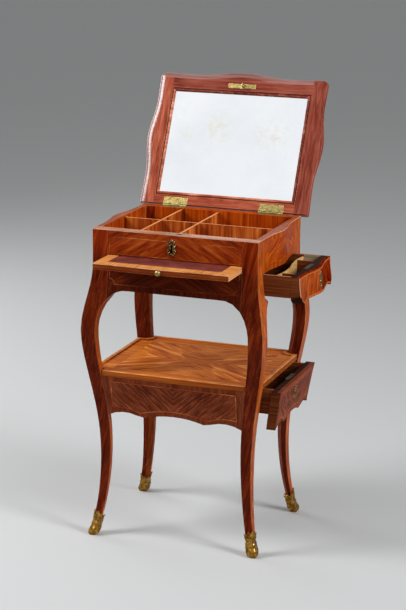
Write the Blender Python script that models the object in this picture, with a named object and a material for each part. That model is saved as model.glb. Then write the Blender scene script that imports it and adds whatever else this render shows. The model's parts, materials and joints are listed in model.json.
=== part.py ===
"""Small writing and dressing table on four curved legs, shown open.

A case with six compartments under a mirrored lid stands on cabriole legs. A leather-lined writing slide
draws out at the front, and a drawer draws out at the right of the case and another under the shelf.
Metres, +Z up, front towards -Y. Pieces are shaped in the closed table; their bodies' empties open it.
"""

import math

import bmesh
import bpy
from mathutils import Matrix, Vector

# Gaps
FIT = 0.0003
SLIDE_PLAY = 0.0015
DRAWER_PLAY = 0.0012

# Opening of the moving bodies as shown
LID_OPENING = math.radians(115.9)
SLIDE_OUT = 0.083
UPPER_DRAWER_OUT = 0.080
LOWER_DRAWER_OUT = 0.040

# Case
CASE_WIDTH = 0.370
CASE_DEPTH = 0.297
CASE_TOP = 0.690
POST = 0.035
PANEL = 0.023
SIDE_RIM = 0.0125
SIDE_BOW = 0.0105
BOW_SHARPNESS = 2
COMPARTMENT_DEPTH = 0.0485
FLOOR_BOARD = 0.005
DUST_BOARD = 0.0065
PARTITION = 0.005
PARTITION_DROP = 0.0025
LEFT_COLUMN = 0.084
MIDDLE_COLUMN = 0.0815

# Arch under the case, and the brackets of the right legs under the upper drawer's sides;
# the apron's height is measured from the top of that drawer
APRON_HEIGHT = 0.053
ARCH_DROP = 0.086
ARCH_RUN = 0.062
BRACKET_REACH = 0.016
BRACKET_CURVE = 1.3

# Legs: line of the outer edge, and widths of the square section
NECK_ABOVE_ARCH = 0.054
KNEE_BELOW_ARCH = 0.007
KNEE_OUT = 0.0202
KNEE_WIDTH = 0.033
CALF_FALL = 0.82
ANKLE_HEIGHT = 0.185
ANKLE_IN = 0.0122
ANKLE_WIDTH = 0.023
FOOT_OUT = 0.008
FOOT_WIDTH = 0.0150
FOOT_FLARE = 2.2
LEG_CHAMFER = 0.012
POST_CHAMFER = 0.002

# Bronze shoes
SHOE_HEIGHT = 0.056
SHOE_SOLE = 0.004
SHOE_WALL = 0.0018
SHOE_TOE = 0.0045
SHOE_TOE_HEIGHT = 0.009
SHOE_HEEL = 0.003

# Shelf and the aprons below it
SHELF_TOP = 0.380
SHELF_BOARD = 0.0125
SHELF_SETBACK = 0.004
SHELF_LIP = 0.003
SHELF_LIP_WIDTH = 0.009
LOWER_APRON = 0.015
LOWER_APRON_DROP = 0.089
CUSP_PLACE = 0.48
CENTRE_ARC_RISE = 0.012
SIDE_ARC_RISE = 0.010

# Writing slide
SLIDE_THICKNESS = 0.013
SLIDE_DEPTH = 0.235
SLIDE_BOW = 0.003
LEATHER_BORDER = 0.024
LEATHER = 0.0012
KNOB_RADIUS = 0.0062
KNOB_STEM_RADIUS = 0.0030
KNOB_COLLAR_RADIUS = 0.0042
KNOB_COLLAR = 0.0023
KNOB_STEM = 0.0045
KNOB_LENGTH = 0.013
KNOB_PLACE = 0.0066
KNOB_BULB_RINGS = 5
KNOB_BULB_START = math.radians(40)
KNOB_BULB_END = math.radians(160)

# Drawers
DRAWER_FRONT = 0.020
DRAWER_SIDE = 0.008
DRAWER_BOTTOM = 0.005
DRAWER_BACK_GAP = 0.010
UPPER_SIDE_RISE = 0.008
LOWER_SIDE_HEIGHT = 0.054
RUNNER = 0.007
RUNNER_REACH = 0.022
PEN_SPACE_WALL = 0.003
FRONT_WELL = 0.036
PEN_WALL_WAVE = 0.005
PEN_WALL_PHASE = 0.36
END_WELL = 0.038
DIVIDER = 0.003
DIVIDER_DROP = 0.004

# Lid and mirror
LID_THICKNESS = 0.015
LID_SIDE_OVERHANG = 0.015
LID_FRONT_OVERHANG = 0.013
LID_BOW = 0.0085
LID_BOW_SHARPNESS = 3
LID_DIP = 0.0020
LID_CORNER = 0.012
MIRROR_WIDTH = 0.314
MIRROR_HEIGHT = 0.238
MIRROR_FROM_BACK = 0.0280
MIRROR_GLASS = 0.003
MIRROR_BEAD = 0.008
MIRROR_BEAD_DEPTH = 0.003

# Hinges
HINGE_LENGTH = 0.057
HINGE_FROM_POST = 0.008
LEAF = 0.0016
LEAF_DEPTH = 0.016
BARREL_RADIUS = 0.0028
BARREL_STANDOFF = 0.0005
KNUCKLE_LENGTH = 0.0165
PIN_RADIUS = 0.0012

# Lid lock and its keep
KEEP_LENGTH = 0.066
KEEP_WIDTH = 0.011
KEEP_PLATE = 0.0016
LID_LOCK_HEIGHT = 0.036
STAPLE_LENGTH = 0.0122
STAPLE_WIDTH = 0.0072
STAPLE_THICKNESS = 0.003
STAPLE_PLACE = 0.0040
STAPLE_WALL = 0.0014
LID_BOLT_LENGTH = 0.0165
LID_BOLT_HEIGHT = 0.0040
LID_BOLT_DEPTH = 0.0052
LID_BOLT_THROW = 0.007

# Drawer locks
DRAWER_LOCK_WIDTH = 0.048
DRAWER_LOCK_HEIGHT = 0.032
DRAWER_LOCK_DEPTH = 0.010
DRAWER_BOLT_WIDTH = 0.0134
DRAWER_BOLT_THICKNESS = 0.0034
DRAWER_BOLT_LENGTH = 0.0155
MORTISE_DEPTH = 0.008

# Key plates
KEY_PLATE_WIDTH = 0.0235
KEY_PLATE_HEIGHT = 0.042
KEY_PLATE = 0.0015
KEY_PLATE_LEAVES = 0.10
KEY_PLATE_WAIST = 0.06
KEY_PLATE_FULLNESS = 1.04
DRAWER_KEY_PLATE_SCALE = 0.90
KEY_PLATE_DROP = 0.003
KEY_PLATE_ASIDE = 0.0055
KEYHOLE_RADIUS = 0.0024
KEYHOLE_LENGTH = 0.0085
KEYHOLE_OPENING = math.radians(30)

# Smoothness
LEG_STEP = 0.020
BRACKET_STEPS = 4
BOW_STEPS = 18
PANEL_ROWS = 7
ROUND_SIDES = 16
KEY_PLATE_POINTS = 40
KEYHOLE_POINTS = 8
WELD = 0.00001
EDGE_ROUNDS = 12
FLAT_ANGLE = math.radians(0.1)

# Derived places shared by several pieces
HALF_WIDTH = CASE_WIDTH / 2
HALF_DEPTH = CASE_DEPTH / 2
POST_X = HALF_WIDTH - POST
POST_Y = HALF_DEPTH - POST
INSIDE_X = HALF_WIDTH - PANEL
INSIDE_Y = HALF_DEPTH - PANEL
CELLS_X = HALF_WIDTH - SIDE_RIM
FLOOR_TOP = CASE_TOP - COMPARTMENT_DEPTH
FLOOR_UNDER = FLOOR_TOP - FLOOR_BOARD
SLIDE_TOP = FLOOR_UNDER - SLIDE_PLAY
SLIDE_UNDER = SLIDE_TOP - SLIDE_THICKNESS
DUST_TOP = SLIDE_UNDER - FIT
DUST_UNDER = DUST_TOP - DUST_BOARD
UPPER_TOP = DUST_UNDER - DRAWER_PLAY
ARCH_TOP = UPPER_TOP - APRON_HEIGHT
ARCH_FOOT = ARCH_TOP - ARCH_DROP
NECK_HEIGHT = ARCH_TOP + NECK_ABOVE_ARCH
KNEE_HEIGHT = ARCH_FOOT - KNEE_BELOW_ARCH
UPPER_SIDE_UNDER = ARCH_TOP + UPPER_SIDE_RISE
SHELF_UNDER = SHELF_TOP - SHELF_BOARD
LOWER_TOP = SHELF_UNDER - DRAWER_PLAY
LOWER_BASE = SHELF_UNDER - LOWER_APRON_DROP
LOWER_SIDE_UNDER = LOWER_TOP - LOWER_SIDE_HEIGHT
BOX_HALF = POST_Y - DRAWER_PLAY
LID_UNDER = CASE_TOP + FIT
HINGE_PLACE = POST_X - HINGE_FROM_POST - HINGE_LENGTH / 2
HINGE_Y = HALF_DEPTH + BARREL_STANDOFF + BARREL_RADIUS
HINGE_Z = CASE_TOP + FIT / 2
KEEP_Y = -HALF_DEPTH + PANEL / 2
LID_HALF = HALF_WIDTH + LID_SIDE_OVERHANG
LID_FRONT = -HALF_DEPTH - LID_FRONT_OVERHANG

TULIPWOOD = (0.42, 0.13, 0.035, 1)
OAK = (0.10, 0.045, 0.018, 1)
LIGHT_WOOD = (0.55, 0.33, 0.13, 1)
GILT = (0.75, 0.50, 0.17, 1)
STEEL = (0.30, 0.29, 0.27, 1)
HIDE = (0.17, 0.028, 0.028, 1)
SILVERING = (0.80, 0.83, 0.82, 1)


def ease(share):
    """Smooth rise from 0 to 1 with level ends."""
    return (1 - math.cos(math.pi * share)) / 2


def leg_line(z):
    """How far a leg's outer faces stand out from the case's sides at a height."""
    if z >= NECK_HEIGHT:
        return 0.0
    if z >= KNEE_HEIGHT:
        return KNEE_OUT * ease((NECK_HEIGHT - z) / (NECK_HEIGHT - KNEE_HEIGHT))
    if z >= ANKLE_HEIGHT:
        fall = ((KNEE_HEIGHT - z) / (KNEE_HEIGHT - ANKLE_HEIGHT)) ** CALF_FALL
        return KNEE_OUT - (KNEE_OUT + ANKLE_IN) * ease(fall)
    return (FOOT_OUT + ANKLE_IN) * (1 - z / ANKLE_HEIGHT) ** FOOT_FLARE - ANKLE_IN


def leg_width(z):
    """Side of the leg's square section below the arch."""
    if z >= ANKLE_HEIGHT:
        share = (z - ANKLE_HEIGHT) / (KNEE_HEIGHT - ANKLE_HEIGHT)
        return ANKLE_WIDTH + (KNEE_WIDTH - ANKLE_WIDTH) * min(share, 1)
    return FOOT_WIDTH + (ANKLE_WIDTH - FOOT_WIDTH) * z / ANKLE_HEIGHT


ARCH_SPRING = leg_width(ARCH_FOOT) - leg_line(ARCH_FOOT)


def foot_inside(z):
    """How far a leg's inner faces lie in from the case's sides below the arch."""
    return leg_width(z) - leg_line(z)


def arch_height(inside):
    """Height of an arch's curve at a distance in from the case's side."""
    return ARCH_FOOT + ARCH_DROP * math.sqrt(1 - (1 - (inside - ARCH_SPRING) / ARCH_RUN) ** 2)


POST_FOOT = arch_height(POST)
BRACKET_TOP = UPPER_SIDE_UNDER - DRAWER_PLAY
BRACKET_FOOT = arch_height(POST + BRACKET_REACH)


def arch_inside(z):
    """How far in from the case's side an arch's curve lies at a height."""
    rise = (z - ARCH_FOOT) / ARCH_DROP
    return ARCH_SPRING + ARCH_RUN * (1 - math.sqrt(1 - rise**2))


def leg_inside(z):
    """How far a leg's inner faces lie in from the case's sides at a height."""
    if z >= POST_FOOT:
        return POST
    if z >= ARCH_FOOT:
        return arch_inside(z)
    return foot_inside(z)


def bracket_inside(z):
    """The same for a leg beside the upper drawer, where the post has a bracket under the drawer's side."""
    if z >= BRACKET_TOP:
        return POST
    if z >= BRACKET_FOOT:
        return POST + BRACKET_REACH * ((BRACKET_TOP - z) / (BRACKET_TOP - BRACKET_FOOT)) ** BRACKET_CURVE
    if z >= ARCH_FOOT:
        return arch_inside(z)
    return foot_inside(z)


def leg_chamfer(z):
    """Cut across the hidden inner corner of the leg, fading into the square post."""
    share = min(max((z - ARCH_FOOT) / (POST_FOOT - ARCH_FOOT), 0), 1)
    return min(LEG_CHAMFER, leg_width(z) / 2) * (1 - share) + POST_CHAMFER * share


def arch_under(along, half):
    """Height of the arch's lower edge at a distance from the middle of a side of this half length."""
    level = half - ARCH_SPRING - ARCH_RUN
    share = min(max((abs(along) - level) / ARCH_RUN, 0), 1)
    return ARCH_FOOT + ARCH_DROP * math.sqrt(1 - share**2)


def scalloped_under(share):
    """Height of a lower apron's edge: three arcs meeting at two cusps."""
    place = abs(share)
    if place < CUSP_PLACE:
        return LOWER_BASE + CENTRE_ARC_RISE * (1 - (place / CUSP_PLACE) ** 2)
    middle = (1 + CUSP_PLACE) / 2
    half = (1 - CUSP_PLACE) / 2
    return LOWER_BASE + SIDE_ARC_RISE * (1 - ((place - middle) / half) ** 2)


def bow(share, rise, sharpness):
    """Crossbow line: full in the middle, hollow towards level ends."""
    return rise * ((1 + math.cos(math.pi * min(max(share, -1), 1))) / 2) ** sharpness


def side_face(along, z):
    """Distance of the case's side faces from the middle plane."""
    return HALF_WIDTH + leg_line(z) + bow(along / POST_Y, SIDE_BOW, BOW_SHARPNESS)


def four_corners(corner):
    """Outline with one corner's points mirrored into the other three."""
    points = list(corner)
    points += [(-x, y) for x, y in reversed(corner)]
    points += [(-x, -y) for x, y in corner]
    points += [(x, -y) for x, y in reversed(corner)]
    return points


def spaced(start, end, count):
    return [start + (end - start) * n / count for n in range(count + 1)]


def collection(name):
    made = bpy.data.collections.new(name)
    bpy.context.scene.collection.children.link(made)
    return made


def material(name, colour, roughness, metallic=0.0):
    made = bpy.data.materials.new(name)
    made.use_nodes = True
    shader = made.node_tree.nodes["Principled BSDF"]
    shader.inputs["Base Color"].default_value = colour
    shader.inputs["Roughness"].default_value = roughness
    shader.inputs["Metallic"].default_value = metallic
    return made


def body(name, place=(0, 0, 0), pivot=(0, 0, 0), angle=0.0, parent=None):
    """Empty that carries a body; pivot is the point of the closed table that it stands for."""
    empty = bpy.data.objects.new(name, None)
    PARTS.objects.link(empty)
    empty.parent = parent
    empty.location = place
    empty.rotation_euler = (angle, 0, 0)
    empty["pivot"] = pivot
    return empty


def finish(bm, name, carrier, finish_material, hidden=False):
    """Turn a bmesh in closed-table coordinates into an object about its own centre."""
    bmesh.ops.recalc_face_normals(bm, faces=bm.faces)
    low = Vector([min(v.co[n] for v in bm.verts) for n in range(3)])
    high = Vector([max(v.co[n] for v in bm.verts) for n in range(3)])
    centre = (low + high) / 2
    bmesh.ops.translate(bm, verts=bm.verts, vec=-centre)
    mesh = bpy.data.meshes.new(name)
    bm.to_mesh(mesh)
    bm.free()
    made = bpy.data.objects.new(name, mesh)
    (CUTTERS if hidden else PARTS).objects.link(made)
    made.parent = carrier
    made.location = centre - Vector(carrier["pivot"])
    if hidden:
        made.hide_render = True
        made.display_type = "WIRE"
    else:
        mesh.materials.append(finish_material)
    return made


def box(low, high):
    bm = bmesh.new()
    size = [b - a for a, b in zip(low, high)]
    middle = [(a + b) / 2 for a, b in zip(low, high)]
    bmesh.ops.create_cube(bm, size=1, matrix=Matrix.Translation(middle) @ Matrix.Diagonal((*size, 1)))
    return bm


def rod(start, end, radius, end_radius=None):
    """Cylinder or cone between two points."""
    bm = bmesh.new()
    line = Vector(end) - Vector(start)
    turn = line.to_track_quat("Z", "Y").to_matrix().to_4x4()
    bmesh.ops.create_cone(
        bm,
        cap_ends=True,
        segments=ROUND_SIDES,
        radius1=radius,
        radius2=radius if end_radius is None else end_radius,
        depth=line.length,
        matrix=Matrix.Translation((Vector(start) + Vector(end)) / 2) @ turn,
    )
    return bm


def loft(rings):
    """Closed skin over rings of equal count, capped at both ends."""
    bm = bmesh.new()
    rows = [[bm.verts.new(point) for point in ring] for ring in rings]
    for lower, upper in zip(rows, rows[1:]):
        for n in range(len(lower)):
            m = (n + 1) % len(lower)
            bm.faces.new((lower[n], lower[m], upper[m], upper[n]))
    bm.faces.new(rows[0])
    bm.faces.new(rows[-1])
    return bm


def board(outlines, thickness, to_table):
    """Flat board from closed outlines, the later ones being holes, its lower face on the outline's plane."""
    curve = bpy.data.curves.new("outline", "CURVE")
    curve.dimensions = "2D"
    curve.fill_mode = "BOTH"
    curve.extrude = thickness / 2
    for outline in outlines:
        spline = curve.splines.new("POLY")
        spline.points.add(len(outline) - 1)
        spline.use_cyclic_u = True
        for point, (x, y) in zip(spline.points, outline):
            point.co = (x, y, 0, 1)
    drawn = bpy.data.objects.new("outline", curve)
    bpy.context.scene.collection.objects.link(drawn)
    evaluated = drawn.evaluated_get(bpy.context.evaluated_depsgraph_get())
    mesh = bpy.data.meshes.new_from_object(evaluated)
    bm = bmesh.new()
    bm.from_mesh(mesh)
    bpy.data.objects.remove(drawn)
    bpy.data.meshes.remove(mesh)
    bpy.data.curves.remove(curve)
    bmesh.ops.remove_doubles(bm, verts=bm.verts, dist=WELD)
    bmesh.ops.dissolve_limit(bm, angle_limit=FLAT_ANGLE, verts=bm.verts, edges=bm.edges)
    bmesh.ops.transform(bm, matrix=to_table @ Matrix.Translation((0, 0, thickness / 2)), verts=bm.verts)
    return bm


def shaped_panel(columns, rows, face, back):
    """Solid between two surfaces given over shares across (-1 to 1) and up (0 to 1)."""
    bm = bmesh.new()
    bmesh.ops.create_grid(bm, x_segments=columns, y_segments=rows, size=1)
    shares = [(v.co.x, (v.co.y + 1) / 2) for v in bm.verts]
    grid = list(bm.verts)
    copied = bmesh.ops.extrude_face_region(bm, geom=list(bm.faces), use_keep_orig=True)
    behind = [item for item in copied["geom"] if isinstance(item, bmesh.types.BMVert)]
    twins = {tuple(round(c, 6) for c in v.co): v for v in behind}
    for vert, (across, up) in zip(grid, shares):
        twins[tuple(round(c, 6) for c in vert.co)].co = back(across, up)
        vert.co = face(across, up)
    return bm


def cut(target, cutter):
    step = target.modifiers.new("cut", "BOOLEAN")
    step.operation = "DIFFERENCE"
    step.object = cutter
    return step


def unite(target, added):
    step = target.modifiers.new("join", "BOOLEAN")
    step.operation = "UNION"
    step.object = added
    return step


def cutter(bm, name, carrier):
    return finish(bm, name, carrier, None, hidden=True)


def flat_at(z):
    return Matrix.Translation((0, 0, z))


def leg_section(side_x, side_y, z, outside, inner, chamfer):
    """Section with its hidden corner cut off, in the corner of the table given by the two signs."""
    inside_x, inside_y = inner
    corners = [
        (outside, outside),
        (outside, -inside_y),
        (chamfer - inside_x, -inside_y),
        (-inside_x, chamfer - inside_y),
        (-inside_x, outside),
    ]
    return [(side_x * (HALF_WIDTH + u), side_y * (HALF_DEPTH + v), z) for u, v in corners]


def leg_heights():
    """Heights of the sections, close together where the leg curves."""
    marks = [SHOE_SOLE + FIT, ANKLE_HEIGHT, KNEE_HEIGHT, ARCH_FOOT, NECK_HEIGHT, CASE_TOP]
    marks += [POST_FOOT] + spaced(BRACKET_FOOT, BRACKET_TOP, BRACKET_STEPS)
    marks.sort()
    heights = [marks[0]]
    for start, end in zip(marks, marks[1:]):
        count = 1 if start >= NECK_HEIGHT else max(1, math.ceil((end - start) / LEG_STEP))
        heights += spaced(start, end, count)[1:]
    return heights


def make_legs():
    """Four legs whose posts run up to the rim, hollowed there to the thickness of the rim."""
    for row, side_y in (("front", -1), ("rear", 1)):
        for hand, side_x in (("left", -1), ("right", 1)):
            rings = []
            for z in leg_heights():
                beside = bracket_inside(z) if side_x > 0 else leg_inside(z)
                inner = leg_inside(z), beside
                rings.append(leg_section(side_x, side_y, z, leg_line(z), inner, leg_chamfer(z)))
            leg = finish(loft(rings), f"leg_{row}_{hand}", FRAME, VENEER)
            cut(leg, COMPARTMENT_SPACE)
            make_shoe(f"shoe_{row}_{hand}", side_x, side_y)


def make_shoe(name, side_x, side_y):
    """Bronze shoe round the foot, its toe turned out past the leg."""
    rings = []
    for z in (0.0, SHOE_TOE_HEIGHT / 2, SHOE_TOE_HEIGHT):
        reach = leg_line(SHOE_TOE_HEIGHT) + SHOE_TOE
        heel = foot_inside(z) + SHOE_HEEL
        rings.append(leg_section(side_x, side_y, z, reach, (heel, heel), leg_chamfer(z)))
    upper = SHOE_HEIGHT - SHOE_TOE_HEIGHT
    for z in spaced(SHOE_TOE_HEIGHT, SHOE_HEIGHT, 5)[1:]:
        swell = SHOE_WALL + FIT + SHOE_TOE * ((SHOE_HEIGHT - z) / upper) ** 3
        heel = foot_inside(z) + SHOE_WALL + FIT
        rings.append(leg_section(side_x, side_y, z, leg_line(z) + swell, (heel, heel), leg_chamfer(z)))
    for z in reversed(spaced(SHOE_SOLE, SHOE_HEIGHT, 4)):
        heel = foot_inside(z) + FIT
        rings.append(leg_section(side_x, side_y, z, leg_line(z) + FIT, (heel, heel), leg_chamfer(z)))
    finish(loft(rings), name, FRAME, BRONZE)


def apron_panel(name, half, plane, top, place, bow_rise):
    """Panel with the arch below; place turns a distance along, a distance out and a height into a point."""

    def point(across, up, out):
        along = across * (half - POST - FIT)
        low = arch_under(along, half)
        z = low + (top - low) * up
        return place(along, out(along, z), z)

    def face(across, up):
        return point(
            across,
            up,
            lambda along, z: plane + leg_line(z) + bow(along / (half - POST), bow_rise, BOW_SHARPNESS),
        )

    def back(across, up):
        return point(across, up, lambda along, z: plane - PANEL)

    return finish(shaped_panel(BOW_STEPS, PANEL_ROWS, face, back), name, FRAME, VENEER)


def to_front(along, out, z):
    return (along, -out, z)


def to_rear(along, out, z):
    return (along, out, z)


def to_left(along, out, z):
    return (-out, along, z)


def to_right(along, out, z):
    return (out, along, z)


def make_case():
    """Panels, compartments, boards and runners of the case."""
    apron_panel("front_apron", HALF_WIDTH, HALF_DEPTH, DUST_TOP, to_front, 0.0)
    rear = apron_panel("rear_panel", HALF_WIDTH, HALF_DEPTH, CASE_TOP, to_rear, 0.0)
    left = apron_panel("left_panel", HALF_DEPTH, HALF_WIDTH, CASE_TOP, to_left, SIDE_BOW)
    cut(left, COMPARTMENT_SPACE)
    for hand, side in (("left", -1), ("right", 1)):
        seat = leaf_seat(side * HINGE_PLACE, CASE_TOP - LEAF - FIT, CASE_TOP + LEAF)
        cut(rear, cutter(seat, f"case_leaf_seat_{hand}", FRAME))

    front = finish(
        box((FIT - POST_X, -HALF_DEPTH, FLOOR_UNDER), (POST_X - FIT, -INSIDE_Y, CASE_TOP)),
        "front_panel",
        FRAME,
        VENEER,
    )
    half_keep = KEEP_LENGTH / 2 + FIT
    mortise = box(
        (-half_keep, KEEP_Y - KEEP_WIDTH / 2 - FIT, CASE_TOP - LID_LOCK_HEIGHT - FIT),
        (half_keep, KEEP_Y + KEEP_WIDTH / 2 + FIT, CASE_TOP + PANEL),
    )
    cut(front, cutter(mortise, "lid_lock_mortise", FRAME))

    def face(across, up):
        along = across * (POST_Y - FIT)
        z = DUST_UNDER + (CASE_TOP - DUST_UNDER) * up
        return (side_face(along, z), along, z)

    def back(across, up):
        _, along, z = face(across, up)
        return (INSIDE_X, along, z)

    right = finish(shaped_panel(BOW_STEPS, 1, face, back), "right_panel", FRAME, VENEER)
    cut(right, COMPARTMENT_SPACE)
    cut(right, bolt_mortise("upper_bolt_mortise", UPPER_LOCK_X, DUST_UNDER))

    floor = box((FIT - CELLS_X, FIT - INSIDE_Y, FLOOR_UNDER), (CELLS_X - FIT, INSIDE_Y - FIT, FLOOR_TOP))
    finish(floor, "compartment_floor", FRAME, VENEER)
    make_partitions()

    half_x, half_y = INSIDE_X - FIT, INSIDE_Y - FIT
    notch_x, notch_y = POST_X - FIT, POST_Y - FIT
    notched = four_corners([(half_x, notch_y), (notch_x, notch_y), (notch_x, half_y)])
    finish(board([notched], DUST_BOARD, flat_at(DUST_UNDER)), "dust_board", FRAME, CARCASE)

    for row, side in (("front", -1), ("rear", 1)):
        wall, reach = side * (INSIDE_Y - FIT), side * (INSIDE_Y - FIT - RUNNER_REACH)
        runner = box(
            (FIT - POST_X, min(wall, reach), UPPER_SIDE_UNDER - FIT - RUNNER),
            (POST_X - FIT, max(wall, reach), UPPER_SIDE_UNDER - FIT),
        )
        finish(runner, f"upper_runner_{row}", FRAME, CARCASE)


def make_partitions():
    """One long partition and two cross partitions, halved into each other."""
    low, high = FLOOR_TOP + FIT, CASE_TOP - PARTITION_DROP
    middle = (low + high) / 2
    half = PARTITION / 2
    long_one = finish(
        box((FIT - CELLS_X, -half, low), (CELLS_X - FIT, half, high)), "long_partition", FRAME, VENEER
    )
    left = -CELLS_X + LEFT_COLUMN + half
    places = (("left_partition", left), ("middle_partition", left + PARTITION + MIDDLE_COLUMN))
    for name, x in places:
        cross = finish(
            box((x - half, FIT - INSIDE_Y, low), (x + half, INSIDE_Y - FIT, high)), name, FRAME, VENEER
        )
        gap = half + FIT
        upper = box((x - gap, -PARTITION, middle - FIT), (x + gap, PARTITION, high + PARTITION))
        lower = box((x - PARTITION, -gap, low - PARTITION), (x + PARTITION, gap, middle))
        cut(long_one, cutter(upper, f"{name}_slot_above", FRAME))
        cut(cross, cutter(lower, f"{name}_slot_below", FRAME))


def bolt_mortise(name, x, under):
    """Pocket in the underside of the rail over a drawer, for the thrown bolt."""
    half_y = DRAWER_BOLT_WIDTH / 2 + DRAWER_PLAY
    half_x = DRAWER_BOLT_THICKNESS / 2 + DRAWER_PLAY
    return cutter(
        box((x - half_x, -half_y, under - MORTISE_DEPTH), (x + half_x, half_y, under + MORTISE_DEPTH)),
        name,
        FRAME,
    )


def make_shelf():
    """Shelf with a raised lip, notched a little open round the legs, and the aprons and runners under it."""
    half_x = HALF_WIDTH + leg_line(SHELF_TOP) - SHELF_SETBACK
    half_y = HALF_DEPTH + leg_line(SHELF_TOP) - SHELF_SETBACK
    inside = max(foot_inside(SHELF_TOP), foot_inside(SHELF_UNDER)) + FIT
    notch_x, notch_y = HALF_WIDTH - inside, HALF_DEPTH - inside
    chamfer = min(leg_chamfer(SHELF_TOP), leg_chamfer(SHELF_UNDER)) - FIT

    def ring(inset):
        edge_x, edge_y = half_x - inset, half_y - inset
        step_x, step_y = notch_x - inset, notch_y - inset
        corner = [(edge_x, step_y - FIT), (step_x + chamfer, step_y)]
        corner += [(step_x, step_y + chamfer), (step_x - FIT, edge_y)]
        return four_corners(corner)

    shelf = finish(board([ring(0)], SHELF_BOARD, flat_at(SHELF_UNDER)), "shelf_board", FRAME, VENEER)
    tray = board([ring(SHELF_LIP_WIDTH)], SHELF_BOARD, flat_at(SHELF_TOP - SHELF_LIP))
    cut(shelf, bolt_mortise("lower_bolt_mortise", LOWER_LOCK_X, SHELF_UNDER))
    cut(shelf, cutter(tray, "shelf_tray", FRAME))

    for name, half, plane, place in (
        ("lower_front_apron", HALF_WIDTH, HALF_DEPTH, to_front),
        ("lower_rear_apron", HALF_WIDTH, HALF_DEPTH, to_rear),
        ("lower_left_apron", HALF_DEPTH, HALF_WIDTH, to_left),
    ):
        lower_panel(name, FRAME, half, plane, SHELF_UNDER - FIT, LOWER_APRON, FIT, place)

    wall = HALF_DEPTH + leg_line(LOWER_SIDE_UNDER - FIT - RUNNER) - LOWER_APRON - FIT
    for row, side in (("front", -1), ("rear", 1)):
        near, far = side * wall, side * (wall - RUNNER_REACH)
        runner = box(
            (FIT - POST_X, min(near, far), LOWER_SIDE_UNDER - FIT - RUNNER),
            (POST_X - FIT, max(near, far), LOWER_SIDE_UNDER - FIT),
        )
        finish(runner, f"lower_runner_{row}", FRAME, CARCASE)


def lower_panel(name, carrier, half, plane, top, thickness, gap, place):
    """Scalloped panel between two legs, leaning in downwards with them."""

    def point(across, up, sunk):
        low = scalloped_under(across)
        z = low + (top - low) * up
        along = across * (half - foot_inside(z) - gap)
        return place(along, plane + leg_line(z) - sunk, z)

    def face(across, up):
        return point(across, up, 0.0)

    def back(across, up):
        return point(across, up, thickness)

    return finish(shaped_panel(BOW_STEPS, PANEL_ROWS, face, back), name, carrier, VENEER)


def leaf_seat(middle, low, high):
    """Room let in for a hinge leaf, open to the back."""
    half = HINGE_LENGTH / 2 + FIT
    return box(
        (middle - half, HALF_DEPTH - LEAF_DEPTH - FIT, low),
        (middle + half, HALF_DEPTH + LEAF_DEPTH, high),
    )


def make_hinges():
    """Butt hinges: the case leaf holds the outer knuckles and the pin, the lid leaf the middle knuckle."""
    inner_half = HINGE_LENGTH / 2 - KNUCKLE_LENGTH
    for hand, side in (("left", -1), ("right", 1)):
        x = side * HINGE_PLACE
        start, end = x - HINGE_LENGTH / 2, x + HINGE_LENGTH / 2
        plate = box((start, HALF_DEPTH - LEAF_DEPTH, CASE_TOP - LEAF), (end, HALF_DEPTH, CASE_TOP))
        case_leaf = finish(plate, f"hinge_{hand}_case_leaf", FRAME, BRASS)
        for n, (left, right) in enumerate(((start, x - inner_half), (x + inner_half, end))):
            tongue = box((left, HALF_DEPTH - LEAF, CASE_TOP - LEAF), (right, HINGE_Y, CASE_TOP))
            barrel = rod((left, HINGE_Y, HINGE_Z), (right, HINGE_Y, HINGE_Z), BARREL_RADIUS)
            unite(case_leaf, cutter(tongue, f"hinge_{hand}_tongue_{n}", FRAME))
            unite(case_leaf, cutter(barrel, f"hinge_{hand}_knuckle_{n}", FRAME))
        pin = rod((start + LEAF, HINGE_Y, HINGE_Z), (end - LEAF, HINGE_Y, HINGE_Z), PIN_RADIUS)
        unite(case_leaf, cutter(pin, f"hinge_{hand}_pin", FRAME))

        left, right = x - inner_half + FIT, x + inner_half - FIT
        plate = box((start, HALF_DEPTH - LEAF_DEPTH, LID_UNDER), (end, HALF_DEPTH, LID_UNDER + LEAF))
        lid_leaf = finish(plate, f"hinge_{hand}_lid_leaf", LID, BRASS)
        tongue = box((left, HALF_DEPTH - LEAF, LID_UNDER), (right, HINGE_Y, LID_UNDER + LEAF))
        barrel = rod((left, HINGE_Y, HINGE_Z), (right, HINGE_Y, HINGE_Z), BARREL_RADIUS)
        bore = rod((start, HINGE_Y, HINGE_Z), (end, HINGE_Y, HINGE_Z), PIN_RADIUS + FIT)
        unite(lid_leaf, cutter(tongue, f"hinge_{hand}_lid_tongue", LID))
        unite(lid_leaf, cutter(barrel, f"hinge_{hand}_lid_knuckle", LID))
        cut(lid_leaf, cutter(bore, f"hinge_{hand}_bore", LID))


def lid_outline():
    """Crossbow front and sides with rounded front corners, straight at the back."""
    back = HALF_DEPTH
    depth = back - LID_FRONT

    def crossbow(share):
        return bow(share, LID_BOW, LID_BOW_SHARPNESS) - LID_DIP * math.sin(math.pi * share) ** 2

    right = []
    for n in range(BOW_STEPS + 1):
        share = 1 - 2 * n / BOW_STEPS
        y = back - depth / 2 + share * depth / 2
        right.append((LID_HALF + crossbow(share), max(y, LID_FRONT + LID_CORNER)))
    corner = []
    for n in range(1, 4):
        turn = math.pi / 2 * n / 4
        corner.append(
            (
                LID_HALF - LID_CORNER * (1 - math.cos(turn)),
                LID_FRONT + LID_CORNER * (1 - math.sin(turn)),
            )
        )
    front = []
    for n in range(BOW_STEPS + 1):
        share = 1 - 2 * n / BOW_STEPS
        x = share * (LID_HALF - LID_CORNER)
        front.append((x, LID_FRONT - crossbow(share)))
    left_corner = [(-x, y) for x, y in reversed(corner)]
    left = [(-x, y) for x, y in reversed(right)]
    return right + corner + front + left_corner + left


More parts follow.
